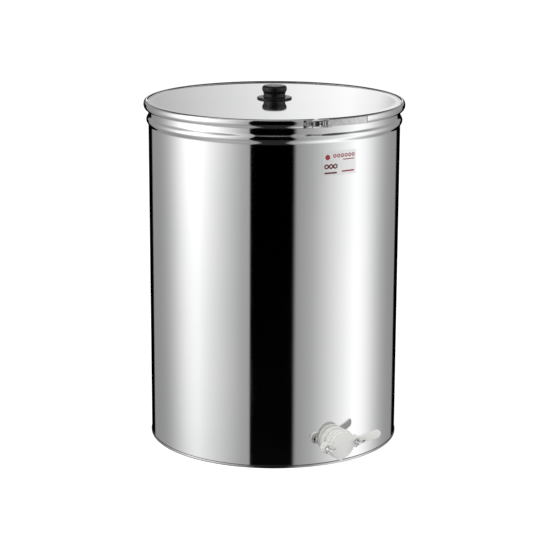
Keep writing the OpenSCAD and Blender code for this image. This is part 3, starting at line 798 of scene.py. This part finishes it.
def makeWall():
    innerR = wallR - wall["thick"]
    hemR = innerR - wall["thick"]
    foot, rim, gateZ = shellLow.z, shellHigh.z, gate["z"]
    rimFoot, hemFoot = rim - wall["rimFoot"], rim - wall["hemHigh"]
    band = [gateZ - wall["gateBand"], gateZ + wall["gateBand"]]
    crest = rounded([(wallR, rimFoot, 0), (wallR, rim, wall["rimEdge"]), (hemR, rim, wall["rimEdge"]),
                     (hemR, rimFoot, 0)])
    profile = [Vector((wallR, z)) for z in (foot, *band)] + beadLine(wallR) + crest
    profile += [Vector((hemR, hemFoot)), Vector((innerR, hemFoot)), *reversed(beadLine(innerR))]
    profile += [Vector((innerR, z)) for z in (*reversed(band), foot)]
    piece = turned("tankWall", profile, wallSteel, wall["steps"])
    place = Matrix.Translation((0, -wallR, gateZ)) @ Matrix.Rotation(math.radians(90), 4, "X")
    hole = rodLine(gate["stubR"] + wall["holeGap"], -wall["holeReach"], wall["holeReach"])
    joinSolid(piece, turned("hole", hole, wallSteel, wall["holeSteps"], place=place), "DIFFERENCE")
    smooth(piece.data)
    standFor(piece, "tank_shell")


makeWall()
print("wall made")


# Bottom: a lifted floor whose edge is folded down and closed over the wall's lower edge
bottom = {"thick": 1.2 * mm, "hemTop": 6 * mm, "hemMid": 3.2 * mm, "wallGap": 0.05 * mm,
          "floorEdge": 0.4 * mm, "hemSteps": 10, "steps": 360}


def makeBottom():
    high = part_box("tank_bottom")[1]
    thick = bottom["thick"]
    slotOut = high.x - thick
    slotIn = wallR - wall["thick"] - bottom["wallGap"]
    footR = slotIn - thick
    floorTop = high.z
    hemTop, hemMid = bottom["hemTop"], bottom["hemMid"]
    upper = arcLine((slotOut, hemMid), thick, hemTop - hemMid, 90, 0, bottom["hemSteps"])
    lower = arcLine((slotOut, hemMid), thick, hemMid, 0, -90, bottom["hemSteps"])
    corners = [(0, floorTop, 0), (slotIn, floorTop, bottom["floorEdge"]), (slotIn, thick, 0),
               (slotOut, thick, 0), *((point.x, point.y, 0) for point in upper + lower[1:]),
               (footR, 0, thick), (footR, floorTop - thick, 0), (0, floorTop - thick, 0)]
    piece = turned("tankBottom", rounded(corners), hemSteel("hemSteel", hemTop), bottom["steps"])
    standFor(piece, "tank_bottom")


makeBottom()


# Lid: a slightly domed disc with a flat edge, screwed to its knob from below
lid = {"thick": 1 * mm, "edge": 0.4 * mm, "flat": 10 * mm, "flatFrom": 2 * mm, "hole": 4.06 * mm, "rings": 40,
       "steps": 360}


def makeLid():
    low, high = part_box("lid_plate")
    outR = high.x
    domeR = wallR - lid["flat"]
    flatR = domeR + lid["flatFrom"]
    edgeTop = low.z + lid["thick"]
    rise = high.z - edgeTop
    dome = []
    for i in range(lid["rings"] + 1):
        radius = lid["hole"] + (domeR - lid["hole"]) * i / lid["rings"]
        dome.append(Vector((radius, rise * (1 - (radius / domeR) ** 2))))
    edge = rounded([(flatR, low.z, 0), (outR, low.z, lid["edge"]), (outR, edgeTop, lid["edge"]),
                    (flatR, edgeTop, 0)])
    under = [point + Vector((0, low.z)) for point in dome]
    over = [point + Vector((0, edgeTop)) for point in reversed(dome)]
    piece = turned("lidPlate", under + edge + over, finishOf["polished_steel"], lid["steps"])
    standFor(piece, "lid_plate")


makeLid()


# Closing ring: a rolled channel whose crown drops to a thin lip on the lid, split under the latch
ring = {"thick": 1.2 * mm, "lip": 12 * mm, "lipThick": 0.4 * mm, "lipTilt": 30.0, "lipEdge": 0.15 * mm,
        "lipFlat": 1 * mm, "lipBend": 0.5 * mm, "crown": 5 * mm, "crownTall": 8.5 * mm, "crownSteps": 20,
        "rollTall": 10.6 * mm, "rollSteps": 18, "underSteps": 10, "wallGap": 0.3 * mm, "gap": 10 * mm,
        "gapMid": -10.11, "steps": 420}

rollR = ringHigh.x - wallR - ring["wallGap"]


def makeRing():
    webR, top, foot = ringHigh.x, ringHigh.z, ringLow.z
    thick, edge = ring["thick"], ring["lipEdge"]
    rollTall, crown, crownTall = ring["rollTall"], ring["crown"], ring["crownTall"]
    rollMid = (webR - rollR, foot + rollTall)
    crownMid = (webR - crown, top - crownTall)
    under = math.degrees(math.asin((crownTall - 2 * thick) / (crownTall - thick)))
    tilt = math.radians(ring["lipTilt"])
    start = math.degrees(math.atan2(crownTall * math.cos(tilt), -crown * math.sin(tilt)))
    over = arcLine(crownMid, crown, crownTall, start, 0, ring["crownSteps"])
    lipR, lipLow = webR - ring["lip"], top - 2 * thick
    lipHigh = lipLow + ring["lipThick"]
    slopeR = over[0].x - (over[0].y - lipHigh) / math.tan(tilt)
    profile = rounded([(lipR + ring["lipFlat"], lipLow, 0), (lipR, lipLow, edge), (lipR, lipHigh, edge),
                       (slopeR, lipHigh, ring["lipBend"]), (over[0].x, over[0].y, 0)])
    profile += over[1:]
    profile += arcLine(rollMid, rollR, rollTall, 0, -90, ring["rollSteps"])
    profile += arcLine(rollMid, rollR - thick, rollTall - thick, -90, 0, ring["rollSteps"])
    profile += arcLine(crownMid, crown - thick, crownTall - thick, 0, under, ring["underSteps"])
    gapTurn = math.degrees(ring["gap"] / webR)
    piece = turned("closingRing", profile, finishOf["polished_steel"], ring["steps"],
                   ring["gapMid"] + gapTurn / 2, 360 - gapTurn)
    standFor(piece, "closing_ring")


makeRing()
print("lid and ring made")


# Knob: a black cap on a waist, with a thin foot on the lid
knob = {"capR": 25.9 * mm, "waistR": 22.7 * mm, "footR": 36.25 * mm, "footHigh": 3.0 * mm, "flatR": 15 * mm,
        "holeR": 4.06 * mm, "holeDeep": 15.3 * mm, "steps": 128}


def makeKnob():
    low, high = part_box("lid_knob")
    base, top = low.z, high.z
    tall = top - base
    holeR, holeTop = knob["holeR"], base + knob["holeDeep"]
    corners = [(holeR, base, 0), (knob["footR"], base, 0.6 * mm),
               (knob["footR"], base + knob["footHigh"], 1.6 * mm),
               (knob["waistR"], base + 1.25 * knob["footHigh"], 2.0 * mm),
               (knob["waistR"], base + 0.40 * tall, 6 * mm),
               (knob["capR"], base + 0.66 * tall, 7 * mm),
               (knob["capR"] - 0.6 * mm, top - 1.2 * mm, 5.0 * mm),
               (knob["flatR"], top - 0.2 * mm, 4 * mm),
               (0, top, 0), (0, holeTop, 0), (holeR, holeTop, 0)]
    piece = turned("lidKnob", rounded(corners), finishOf["black_plastic"], knob["steps"])
    standFor(piece, "lid_knob")


makeKnob()
print("knob made")


# Label: a film wrapped round the wall, with a generic print
label = {"thick": 0.3 * mm, "gap": 0.05 * mm, "wide": 78 * mm, "azimuth": 1.5, "columns": 48}


def makeLabel():
    low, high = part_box("label")
    half = label["wide"] / wallR / 2
    middle = math.radians(label["azimuth"])
    count = label["columns"]
    points, faces, spots = [], [], []
    inner = wallR + label["gap"]
    for radius in (inner, inner + label["thick"]):
        for z, v in ((low.z, 0.0), (high.z, 1.0)):
            for i in range(count + 1):
                turn = middle + half * (2 * i / count - 1)
                points.append((radius * math.sin(turn), -radius * math.cos(turn), z))
                spots.append((i / count, v))
    row = count + 1
    for i in range(count):
        a, b, c, d = i, i + row, i + 2 * row, i + 3 * row
        faces += [(a, b, b + 1, a + 1), (c, c + 1, d + 1, d), (a, a + 1, c + 1, c), (b, d, d + 1, b + 1)]
    faces += [(0, 2 * row, 3 * row, row), (count, row + count, 3 * row + count, 2 * row + count)]
    mesh = bpy.data.meshes.new("label")
    mesh.from_pydata(points, [], faces)
    layer = mesh.uv_layers.new(name="print")
    for corner in mesh.loops:
        layer.data[corner.index].uv = spots[corner.vertex_index]
    mesh.materials.append(finishOf["label_film"])
    settle(mesh)
    smooth(mesh)
    standFor(addObject("labelFilm", mesh), "label")


makeLabel()
print("label made")


# lugs round the two bolts, with a bar between them
def lugLine(x, y, waist, lugR):
    boltX = gate["boltX"]
    strap = bar(x, y, (-boltX, 0), (boltX, 0), waist, waist)
    return melt(strap, disc(np.abs(x), y, (boltX, 0), lugR), gate["lugSoft"])


# Gate body: stub through the wall, collar on the seal, neck and flange with two lugs
body = {"stubFrom": -18.05 * mm, "collarR": 30 * mm, "collarFrom": 4.05 * mm, "collarTo": 12.05 * mm,
        "flangeR": 31 * mm, "flangeFrom": 24 * mm, "flangeTo": 33 * mm, "lugR": 11 * mm, "waist": 8.8 * mm,
        "grooveIn": 21.45 * mm, "grooveOut": 24.55 * mm, "grooveDeep": 3 * mm, "edge": 1.1 * mm,
        "soft": 5 * mm, "flare": 2 * mm, "sink": 0.5 * mm, "mouth": 1.4 * mm, "mouthDeep": 0.4 * mm,
        "past": 1 * mm, "window": (50 * mm, 36 * mm, 50 * mm, 36 * mm)}


def flangeLine(x, y):
    lugs = lugLine(x, y, body["waist"], body["lugR"])
    whole = melt(disc(x, y, (0, 0), body["flangeR"]), lugs, body["soft"])
    holes = disc(np.abs(x), y, (gate["boltX"], 0), gate["boltR"] + gate["boltFit"])
    return carve(whole, holes, gate["holeSoft"])


def makeGateBody():
    finish, steps = finishOf["white_nylon"], gate["steps"]
    stubR, boreR, collarR = gate["stubR"], gate["boreR"], body["collarR"]
    stubFrom, flangeFrom, flangeTo = body["stubFrom"], body["flangeFrom"], body["flangeTo"]
    piece = plate("gateBody", flangeLine, body["window"], (flangeFrom, flangeTo), body["edge"], finish)
    sunk = flangeFrom + body["sink"]
    neck = rounded([(0, stubFrom, 0), (stubR, stubFrom, 0.8 * mm), (stubR, body["collarFrom"], 0),
                    (collarR, body["collarFrom"], 0.5 * mm), (collarR, body["collarTo"], 1.2 * mm),
                    (stubR, body["collarTo"], 1.5 * mm), (stubR, flangeFrom - body["flare"], 0),
                    (stubR + body["flare"], sunk, 0), (0, sunk, 0)])
    joinSolid(piece, turned("neck", neck, finish, steps), "UNION")
    before, past = stubFrom - body["past"], flangeTo + body["past"]
    bore = rounded([(0, before, 0), (boreR, before, 0), (boreR, flangeTo - body["mouthDeep"], 0),
                    (boreR + body["mouth"], past, 0), (0, past, 0)])
    joinSolid(piece, turned("bore", bore, finish, steps), "DIFFERENCE")
    grooveIn, grooveOut, grooveLow = body["grooveIn"], body["grooveOut"], flangeTo - body["grooveDeep"]
    groove = rounded([(grooveIn, grooveLow, 0.4 * mm), (grooveOut, grooveLow, 0.4 * mm), (grooveOut, past, 0),
                      (grooveIn, past, 0)], closed=True)
    joinSolid(piece, turned("groove", groove, finish, steps), "DIFFERENCE")
    piece.data.transform(gateFrame)
    smooth(piece.data)
    standFor(piece, "gate_body")


makeGateBody()


# Gate seals and locknut
seals = {"outR": 30 * mm, "gap": 0.05 * mm, "outerTo": 4 * mm, "innerTo": -6 * mm, "edge": 0.6 * mm,
         "nutFrom": -15.05 * mm, "nutTo": -6.05 * mm, "nutR": 31 * mm, "nutEdge": 1 * mm, "nutSoft": 2 * mm,
         "nutWindow": (40 * mm,) * 4, "cordR": 1.45 * mm, "cordMid": 23 * mm, "cordZ": 31.45 * mm,
         "cordPoints": 18}


# ring whose one face lies on the wall, bent to its curve
def wallSeal(name, node, wallFace, flatFace):
    inR = gate["stubR"] + seals["gap"]
    outR = seals["outR"]
    edge = seals["edge"]
    corners = [(inR, 0, 0), ((inR + outR) / 2, 0, 0), (outR, 0, 0), (outR, flatFace, edge),
               (inR, flatFace, edge)]
    piece = turned(name, rounded(corners), finishOf["seal_rubber"], gate["steps"], place=gateFrame)
    for vertex in piece.data.vertices:
        if abs(vertex.co.y + wallR) < samePoint:
            vertex.co.y = -math.sqrt(wallFace ** 2 - vertex.co.x ** 2)
    smooth(piece.data)
    standFor(piece, node)


# distances from the six flats of a hexagon, the first one turned by this angle
def hexFlats(x, y, half, first):
    turns = [math.radians(first + 60 * i) for i in range(6)]
    return [x * math.cos(turn) + y * math.sin(turn) - half for turn in turns]


def locknutLine(x, y):
    nut, *others = hexFlats(x, y, seals["nutR"], 30)
    for flat in others:
        nut = -melt(-nut, -flat, seals["nutSoft"])
    return carve(nut, disc(x, y, (0, 0), gate["stubR"] + gate["boltFit"]), gate["holeSoft"])


wallSeal("outerSeal", "gate_outer_seal", wallR + seals["gap"], seals["outerTo"])
wallSeal("innerSeal", "gate_inner_seal", wallR - wall["thick"] - seals["gap"], seals["innerTo"])
locknut = plate("gateLocknut", locknutLine, seals["nutWindow"], (seals["nutFrom"], seals["nutTo"]),
                seals["nutEdge"], finishOf["white_nylon"], gateFrame)
standFor(locknut, "gate_locknut")
cordEnd = 360 - 360 / seals["cordPoints"]
cord = arcLine((seals["cordMid"], seals["cordZ"]), seals["cordR"], seals["cordR"], 0, cordEnd,
               seals["cordPoints"] - 1)
standFor(turned("faceSeal", cord, finishOf["seal_rubber"], gate["steps"], place=gateFrame), "gate_face_seal")


# Gate blade: disc with a drip point, pivot lug, slotted clamp lug and handle
blade = {"from": 33.1 * mm, "to": 39.1 * mm, "discR": 27.5 * mm, "drip": 33 * mm, "lugR": 9.9 * mm,
         "waist": 7.9 * mm, "handleTo": 48.5 * mm, "handleRoot": 8.2 * mm, "handleR": 8.5 * mm, "rise": 6.0,
         "slotHalf": 3.3 * mm, "slotTurn": 20.0, "slotSoft": 2 * mm, "soft": 4 * mm, "edge": 1.2 * mm,
         "window": (50 * mm, 38 * mm, 96 * mm, 34 * mm)}


# slot along the arc that the clamp bolt leaves by
def slotLine(x, y):
    boltX = gate["boltX"]
    arcR = 2 * boltX
    turn = np.clip(np.arctan2(y, x + boltX), -math.radians(blade["slotTurn"]), 0)
    return np.hypot(x + boltX - arcR * np.cos(turn), y - arcR * np.sin(turn)) - blade["slotHalf"]


def bladeLine(x, y):
    boltX = gate["boltX"]
    discR = blade["discR"]
    drip = [(-0.85 * discR, -0.52 * discR), (-0.25 * discR, -blade["drip"]), (0.5 * discR, -0.86 * discR)]
    shape = np.minimum(disc(x, y, (0, 0), discR), wedge(x, y, drip))
    shape = melt(shape, lugLine(x, y, blade["waist"], blade["lugR"]), blade["soft"])
    rise = math.radians(blade["rise"])
    end = (boltX + blade["handleTo"] * math.cos(rise), blade["handleTo"] * math.sin(rise))
    handle = bar(x, y, (boltX, 0), end, blade["handleRoot"], blade["handleR"])
    shape = carve(melt(shape, handle, blade["soft"]), slotLine(x, y), blade["slotSoft"])
    return carve(shape, disc(x, y, (-boltX, 0), gate["boltR"] + gate["boltFit"]), gate["holeSoft"])


standFor(plate("gateBlade", bladeLine, blade["window"], (blade["from"], blade["to"]), blade["edge"],
               finishOf["white_nylon"], gateFrame), "gate_blade")
print("gate made")


# Thread: a tree that winds a screw thread on a rod between two levels
def makeThread():
    lengths = [(name, "Float") for name in ("Radius", "Depth", "Pitch", "From", "To", "Chamfer")]
    inputs = [("Rod", "Geometry"), *lengths, ("Rows", "Int"), ("Steps", "Int")]
    wire, take = newTree("thread", inputs, "Threaded")
    sheet, share, upward = newSheet(wire, take["Steps"] + 1, take["Rows"])
    level = blend(take["From"], take["To"], upward)
    phase = wire.math("FRACT", level / take["Pitch"] - share)
    groove = take["Depth"] * (1 - abs(2 * phase - 1))
    ends = wire.math("MAXIMUM", 0.0, take["Chamfer"] - (take["To"] - level))
    radius = wire.math("MINIMUM", take["Radius"] - groove, take["Radius"] - ends)
    angle = share * (2 * math.pi)
    x = radius * wire.math("COSINE", angle)
    y = radius * wire.math("SINE", angle)
    return endTree(wrapSheet(sheet, x, y, level), take["Finish"])


thread = makeThread()


# Bolts: a hexagon head between two levels, with a threaded shank up to a third
bolt = {"rowsPerTurn": 8, "steps": 36, "sink": 0.4 * mm, "chamfer": 0.5 * mm, "edge": 0.4 * mm,
        "stride": 0.25 * mm}
gateBolt = {"radius": 3 * mm, "deep": 0.35 * mm, "pitch": 1 * mm, "flats": 9.6 * mm, "headFrom": 20.05 * mm,
            "headTo": 23.95 * mm, "to": 51.6 * mm}
knobScrew = {"radius": 4 * mm, "deep": 0.4 * mm, "pitch": 1.25 * mm, "flats": 12.8 * mm,
             "headFrom": 712.75 * mm, "headTo": 717.95 * mm, "to": 735.55 * mm}


def makeBolt(name, node, place, sizes):
    finish = finishOf["bolt_steel"]
    rod = addObject("rod", bpy.data.meshes.new("rod"))
    rows = int((sizes["to"] - sizes["headTo"]) / sizes["pitch"] * bolt["rowsPerTurn"])
    runNodes(rod, thread, {"Radius": sizes["radius"], "Depth": sizes["deep"], "Pitch": sizes["pitch"],
                           "From": sizes["headTo"] - bolt["sink"], "To": sizes["to"],
                           "Chamfer": bolt["chamfer"], "Rows": rows, "Steps": bolt["steps"],
                           "Finish": finish})
    settle(rod.data, cap=True)

    def headLine(x, y):
        return np.maximum.reduce(hexFlats(x, y, sizes["flats"] / 2, 0))

    window = (0.8 * sizes["flats"],) * 4
    head = plate(name, headLine, window, (sizes["headFrom"], sizes["headTo"]), bolt["edge"], finish,
                 step=bolt["stride"], turns=2)
    joinSolid(head, rod, "UNION")
    head.data.transform(place)
    smooth(head.data, steelCrease)
    standFor(head, node)


makeBolt("pivotBolt", "pivot_bolt", pivotFrame, gateBolt)
makeBolt("clampBolt", "clamp_bolt", clampFrame, gateBolt)
makeBolt("knobScrew", "knob_screw", Matrix(), knobScrew)


# Washers
washer = {"holeR": 3.06 * mm, "outR": 7.5 * mm, "from": 39.15 * mm, "to": 40.55 * mm, "edge": 0.3 * mm}
lidWasher = {"holeR": 4.06 * mm, "outR": 12 * mm, "from": 718.0 * mm, "to": 719.5 * mm, "edge": 0.35 * mm}
holeEdge = 0.1 * mm
washerSteps = 64


def makeWasher(name, node, place, sizes):
    corners = [(sizes["holeR"], sizes["from"], holeEdge), (sizes["outR"], sizes["from"], sizes["edge"]),
               (sizes["outR"], sizes["to"], sizes["edge"]), (sizes["holeR"], sizes["to"], holeEdge)]
    profile = rounded(corners, closed=True, steps=3)
    standFor(turned(name, profile, finishOf["bolt_steel"], washerSteps, place=place), node)


makeWasher("pivotWasher", "pivot_washer", pivotFrame, washer)
makeWasher("clampWasher", "clamp_washer", clampFrame, washer)
makeWasher("knobWasher", "knob_washer", Matrix(), lidWasher)


# Wing nuts: a tapered hub and two wings that lean outwards
wingNut = {"from": 40.6 * mm, "hubR": 6.25 * mm, "hubTopR": 5 * mm, "hubHigh": 7 * mm, "span": 14 * mm,
           "high": 14 * mm, "wingR": 4.6 * mm, "rootX": 2.6 * mm, "rootY": 3.4 * mm, "rootR": 2.9 * mm,
           "thick": 2.6 * mm, "edge": 0.9 * mm, "stride": 0.4 * mm, "holeR": 3.06 * mm, "steps": 64,
           "window": (16 * mm, 2 * mm, 16 * mm, 16 * mm), "pivotTurn": 12, "clampTurn": 18}


def wingLine(x, y):
    tip = (wingNut["span"] - wingNut["wingR"], wingNut["high"] - wingNut["wingR"])
    return bar(np.abs(x), y, (wingNut["rootX"], wingNut["rootY"]), tip, wingNut["rootR"], wingNut["wingR"])


def makeWingNut(name, node, place, turn):
    finish = finishOf["bolt_steel"]
    half = wingNut["thick"] / 2
    upright = Matrix.Rotation(math.radians(90), 4, "X")
    piece = plate(name, wingLine, wingNut["window"], (-half, half), wingNut["edge"], finish, upright,
                  step=wingNut["stride"])
    hubR, topR, high = wingNut["hubR"], wingNut["hubTopR"], wingNut["hubHigh"]
    hub = rounded([(0, 0, 0), (hubR, 0, 0.4 * mm), (hubR - 0.25 * mm, 1.5 * mm, 1 * mm),
                   (topR, high, 0.8 * mm), (0, high, 0)], steps=4)
    joinSolid(piece, turned("hub", hub, finish, wingNut["steps"]), "UNION")
    hole = rodLine(wingNut["holeR"], -1 * mm, 20 * mm)
    joinSolid(piece, turned("hole", hole, finish, wingNut["steps"]), "DIFFERENCE")
    lift = Matrix.Translation((0, 0, wingNut["from"]))
    piece.data.transform(place @ lift @ Matrix.Rotation(math.radians(turn), 4, "Z"))
    smooth(piece.data, steelCrease)
    standFor(piece, node)


makeWingNut("pivotWingNut", "pivot_wing_nut", pivotFrame, wingNut["pivotTurn"])
makeWingNut("clampWingNut", "clamp_wing_nut", clampFrame, wingNut["clampTurn"])
print("bolts and wing nuts made")


# Lid seal: a flat lap over the rim and a skirt between the ring and the wall
lidSeal = {"lap": 10 * mm, "thick": 2 * mm, "ringGap": 0.05 * mm, "wallGap": 0.3 * mm, "skirtTurn": 80,
           "skirtSteps": 12, "steps": 256}


def makeLidSeal():
    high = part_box("lid_seal")[1]
    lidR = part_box("lid_plate")[1].x
    inR = rollR - ring["thick"] - lidSeal["ringGap"]
    skirtR = wallR + lidSeal["wallGap"]
    lapR = wallR - lidSeal["lap"]
    lapZ = high.z - lidSeal["thick"]
    rollMid = (ringHigh.x - rollR, ringLow.z + rollR)
    skirt = arcLine(rollMid, inR, inR, 0, -lidSeal["skirtTurn"], lidSeal["skirtSteps"])
    corners = [(lapR, lapZ, 0.5 * mm), (lapR, high.z, 0.5 * mm), (lidR, high.z, 0.4 * mm),
               *((point.x, point.y, 0) for point in skirt), (skirtR, skirt[-1].y, 0), (skirtR, lapZ, 0)]
    profile = rounded(corners, closed=True)
    standFor(turned("lidSeal", profile, finishOf["lid_rubber"], lidSeal["steps"]), "lid_seal")


makeLidSeal()


# Latch: brackets, link and pins with eased edges, lever of its own
eased = {"catch_bracket": ("catchBracket", 0.3 * mm), "lever_bracket": ("leverBracket", 0.3 * mm),
         "lever_pin": ("leverPin", 0.35 * mm), "link_pin": ("linkPin", 0.35 * mm),
         "latch_link": ("latchLink", 0.7 * mm)}
for node, (name, width) in eased.items():
    softened(name, node, width, finishOf["latch_steel"])

lever = {"azimuth": -7.6, "pivotR": 279.0 * mm, "z": 711.0 * mm, "inR": 275.8 * mm, "thick": 2 * mm,
         "high": 13 * mm, "root": 10.3 * mm, "reach": 102 * mm, "armX": 7 * mm, "knuckleR": 3.5 * mm,
         "eyeR": 3 * mm, "knuckleHigh": 7.4 * mm, "strapX": 1 * mm, "strapY": 0.85 * mm, "strapR": 1.85 * mm,
         "strapSoft": 1 * mm, "pinR": 2.06 * mm, "linkPinR": 1.56 * mm, "pinSoft": 0.1 * mm, "tipR": 1.3 * mm,
         "edge": 0.6 * mm, "knuckleEdge": 0.4 * mm, "stride": 0.35 * mm, "gripSteps": 80, "tipSteps": 40,
         "window": (6 * mm, 6 * mm, 16 * mm, 6 * mm)}

latchFrame = (Matrix.Rotation(math.radians(lever["azimuth"]), 4, "Z")
              @ Matrix.Translation((0, -lever["pivotR"], lever["z"])))


def knuckleLine(x, y):
    armX, strapY, strapR = lever["armX"], lever["strapY"], lever["strapR"]
    shape = np.minimum(disc(x, y, (0, 0), lever["knuckleR"]), disc(x, y, (armX, 0), lever["eyeR"]))
    foot = lever["root"] + lever["thick"] - strapR
    strap = bar(x, y, (lever["strapX"], strapY), (foot, strapY), strapR, strapR)
    shape = melt(shape, strap, lever["strapSoft"])
    shape = carve(shape, disc(x, y, (0, 0), lever["pinR"]), lever["pinSoft"])
    return carve(shape, disc(x, y, (armX, 0), lever["linkPinR"]), lever["pinSoft"])


def makeLever():
    finish, edge = finishOf["latch_steel"], lever["edge"]
    tall = lever["knuckleHigh"] / 2
    piece = plate("latchLever", knuckleLine, lever["window"], (-tall, tall), lever["knuckleEdge"], finish,
                  latchFrame, step=lever["stride"])
    inR, outR, tipR = lever["inR"], lever["inR"] + lever["thick"], lever["tipR"]
    low, high = lever["z"] - lever["high"] / 2, lever["z"] + lever["high"] / 2
    grip = rounded([(inR, low, edge), (outR, low, edge), (outR, high, edge), (inR, high, edge)],
                   closed=True, steps=4)
    rootTurn = math.degrees(math.atan(lever["root"] / lever["pivotR"]))
    tipTurn = math.degrees(lever["reach"] / lever["pivotR"])
    start, sweep = lever["azimuth"] + rootTurn, tipTurn - rootTurn
    joinSolid(piece, turned("grip", grip, finish, lever["gripSteps"], start, sweep), "UNION")
    tip = rounded([(0, low, 0), (tipR, low, edge), (tipR, high, edge), (0, high, 0)])
    turn = Matrix.Rotation(math.radians(lever["azimuth"] + tipTurn), 4, "Z")
    place = turn @ Matrix.Translation((0, -inR - 1.1 * tipR, 0))
    joinSolid(piece, turned("tip", tip, finish, lever["tipSteps"], place=place), "UNION")
    smooth(piece.data, steelCrease)
    standFor(piece, "latch_lever")


makeLever()


# Rivets: a tree that sets a domed rivet at every given point, square to the ring
rivet = {"azimuths": (-15.376, -14.031, -5.708, -4.026), "z": 711.1 * mm, "shankR": 1.5 * mm,
         "headR": 2.55 * mm, "headFrom": 1.6 * mm, "headTo": 2.5 * mm, "shankFrom": -1.2 * mm, "steps": 32}


def makeRivets():
    finish = finishOf["latch_steel"]
    shankR, headR = rivet["shankR"], rivet["headR"]
    low, headFrom, headTo = rivet["shankFrom"], rivet["headFrom"], rivet["headTo"]
    corners = [(0, low, 0), (shankR, low, 0.2 * mm), (shankR, headFrom, 0), (headR, headFrom, 0.15 * mm),
               (0.8 * headR, headTo, 0.6 * mm), (0, headTo, 0)]
    shape = turned("rivetShape", rounded(corners, steps=4), finish, rivet["steps"])
    wire, take = newTree("rivets", (("Places", "Geometry"), ("Rivet", "Object")), "Rivets")
    spot = wire.node("GeometryNodeInputPosition")
    outwards = wire.node("ShaderNodeVectorMath", {"operation": "MULTIPLY"}, {0: spot, 1: (1, 1, 0)})
    lean = wire.node("FunctionNodeAlignRotationToVector", {"axis": "Z"}, {"Vector": outwards})
    model = wire.node("GeometryNodeObjectInfo", {}, {"Object": take["Rivet"]}, "Geometry")
    given = {"Points": take["Places"], "Instance": model, "Rotation": lean}
    tree = endTree(wire.node("GeometryNodeInstanceOnPoints", {}, given), take["Finish"])
    mesh = bpy.data.meshes.new("bracketRivets")
    webR = ringHigh.x
    turns = [math.radians(azimuth) for azimuth in rivet["azimuths"]]
    mesh.from_pydata([(webR * math.sin(turn), -webR * math.cos(turn), rivet["z"]) for turn in turns], [], [])
    piece = addObject("bracketRivets", mesh)
    runNodes(piece, tree, {"Rivet": shape, "Finish": finish})
    bpy.data.objects.remove(shape)
    smooth(piece.data, steelCrease)
    standFor(piece, "bracket_rivets")


makeRivets()
print("latch made")
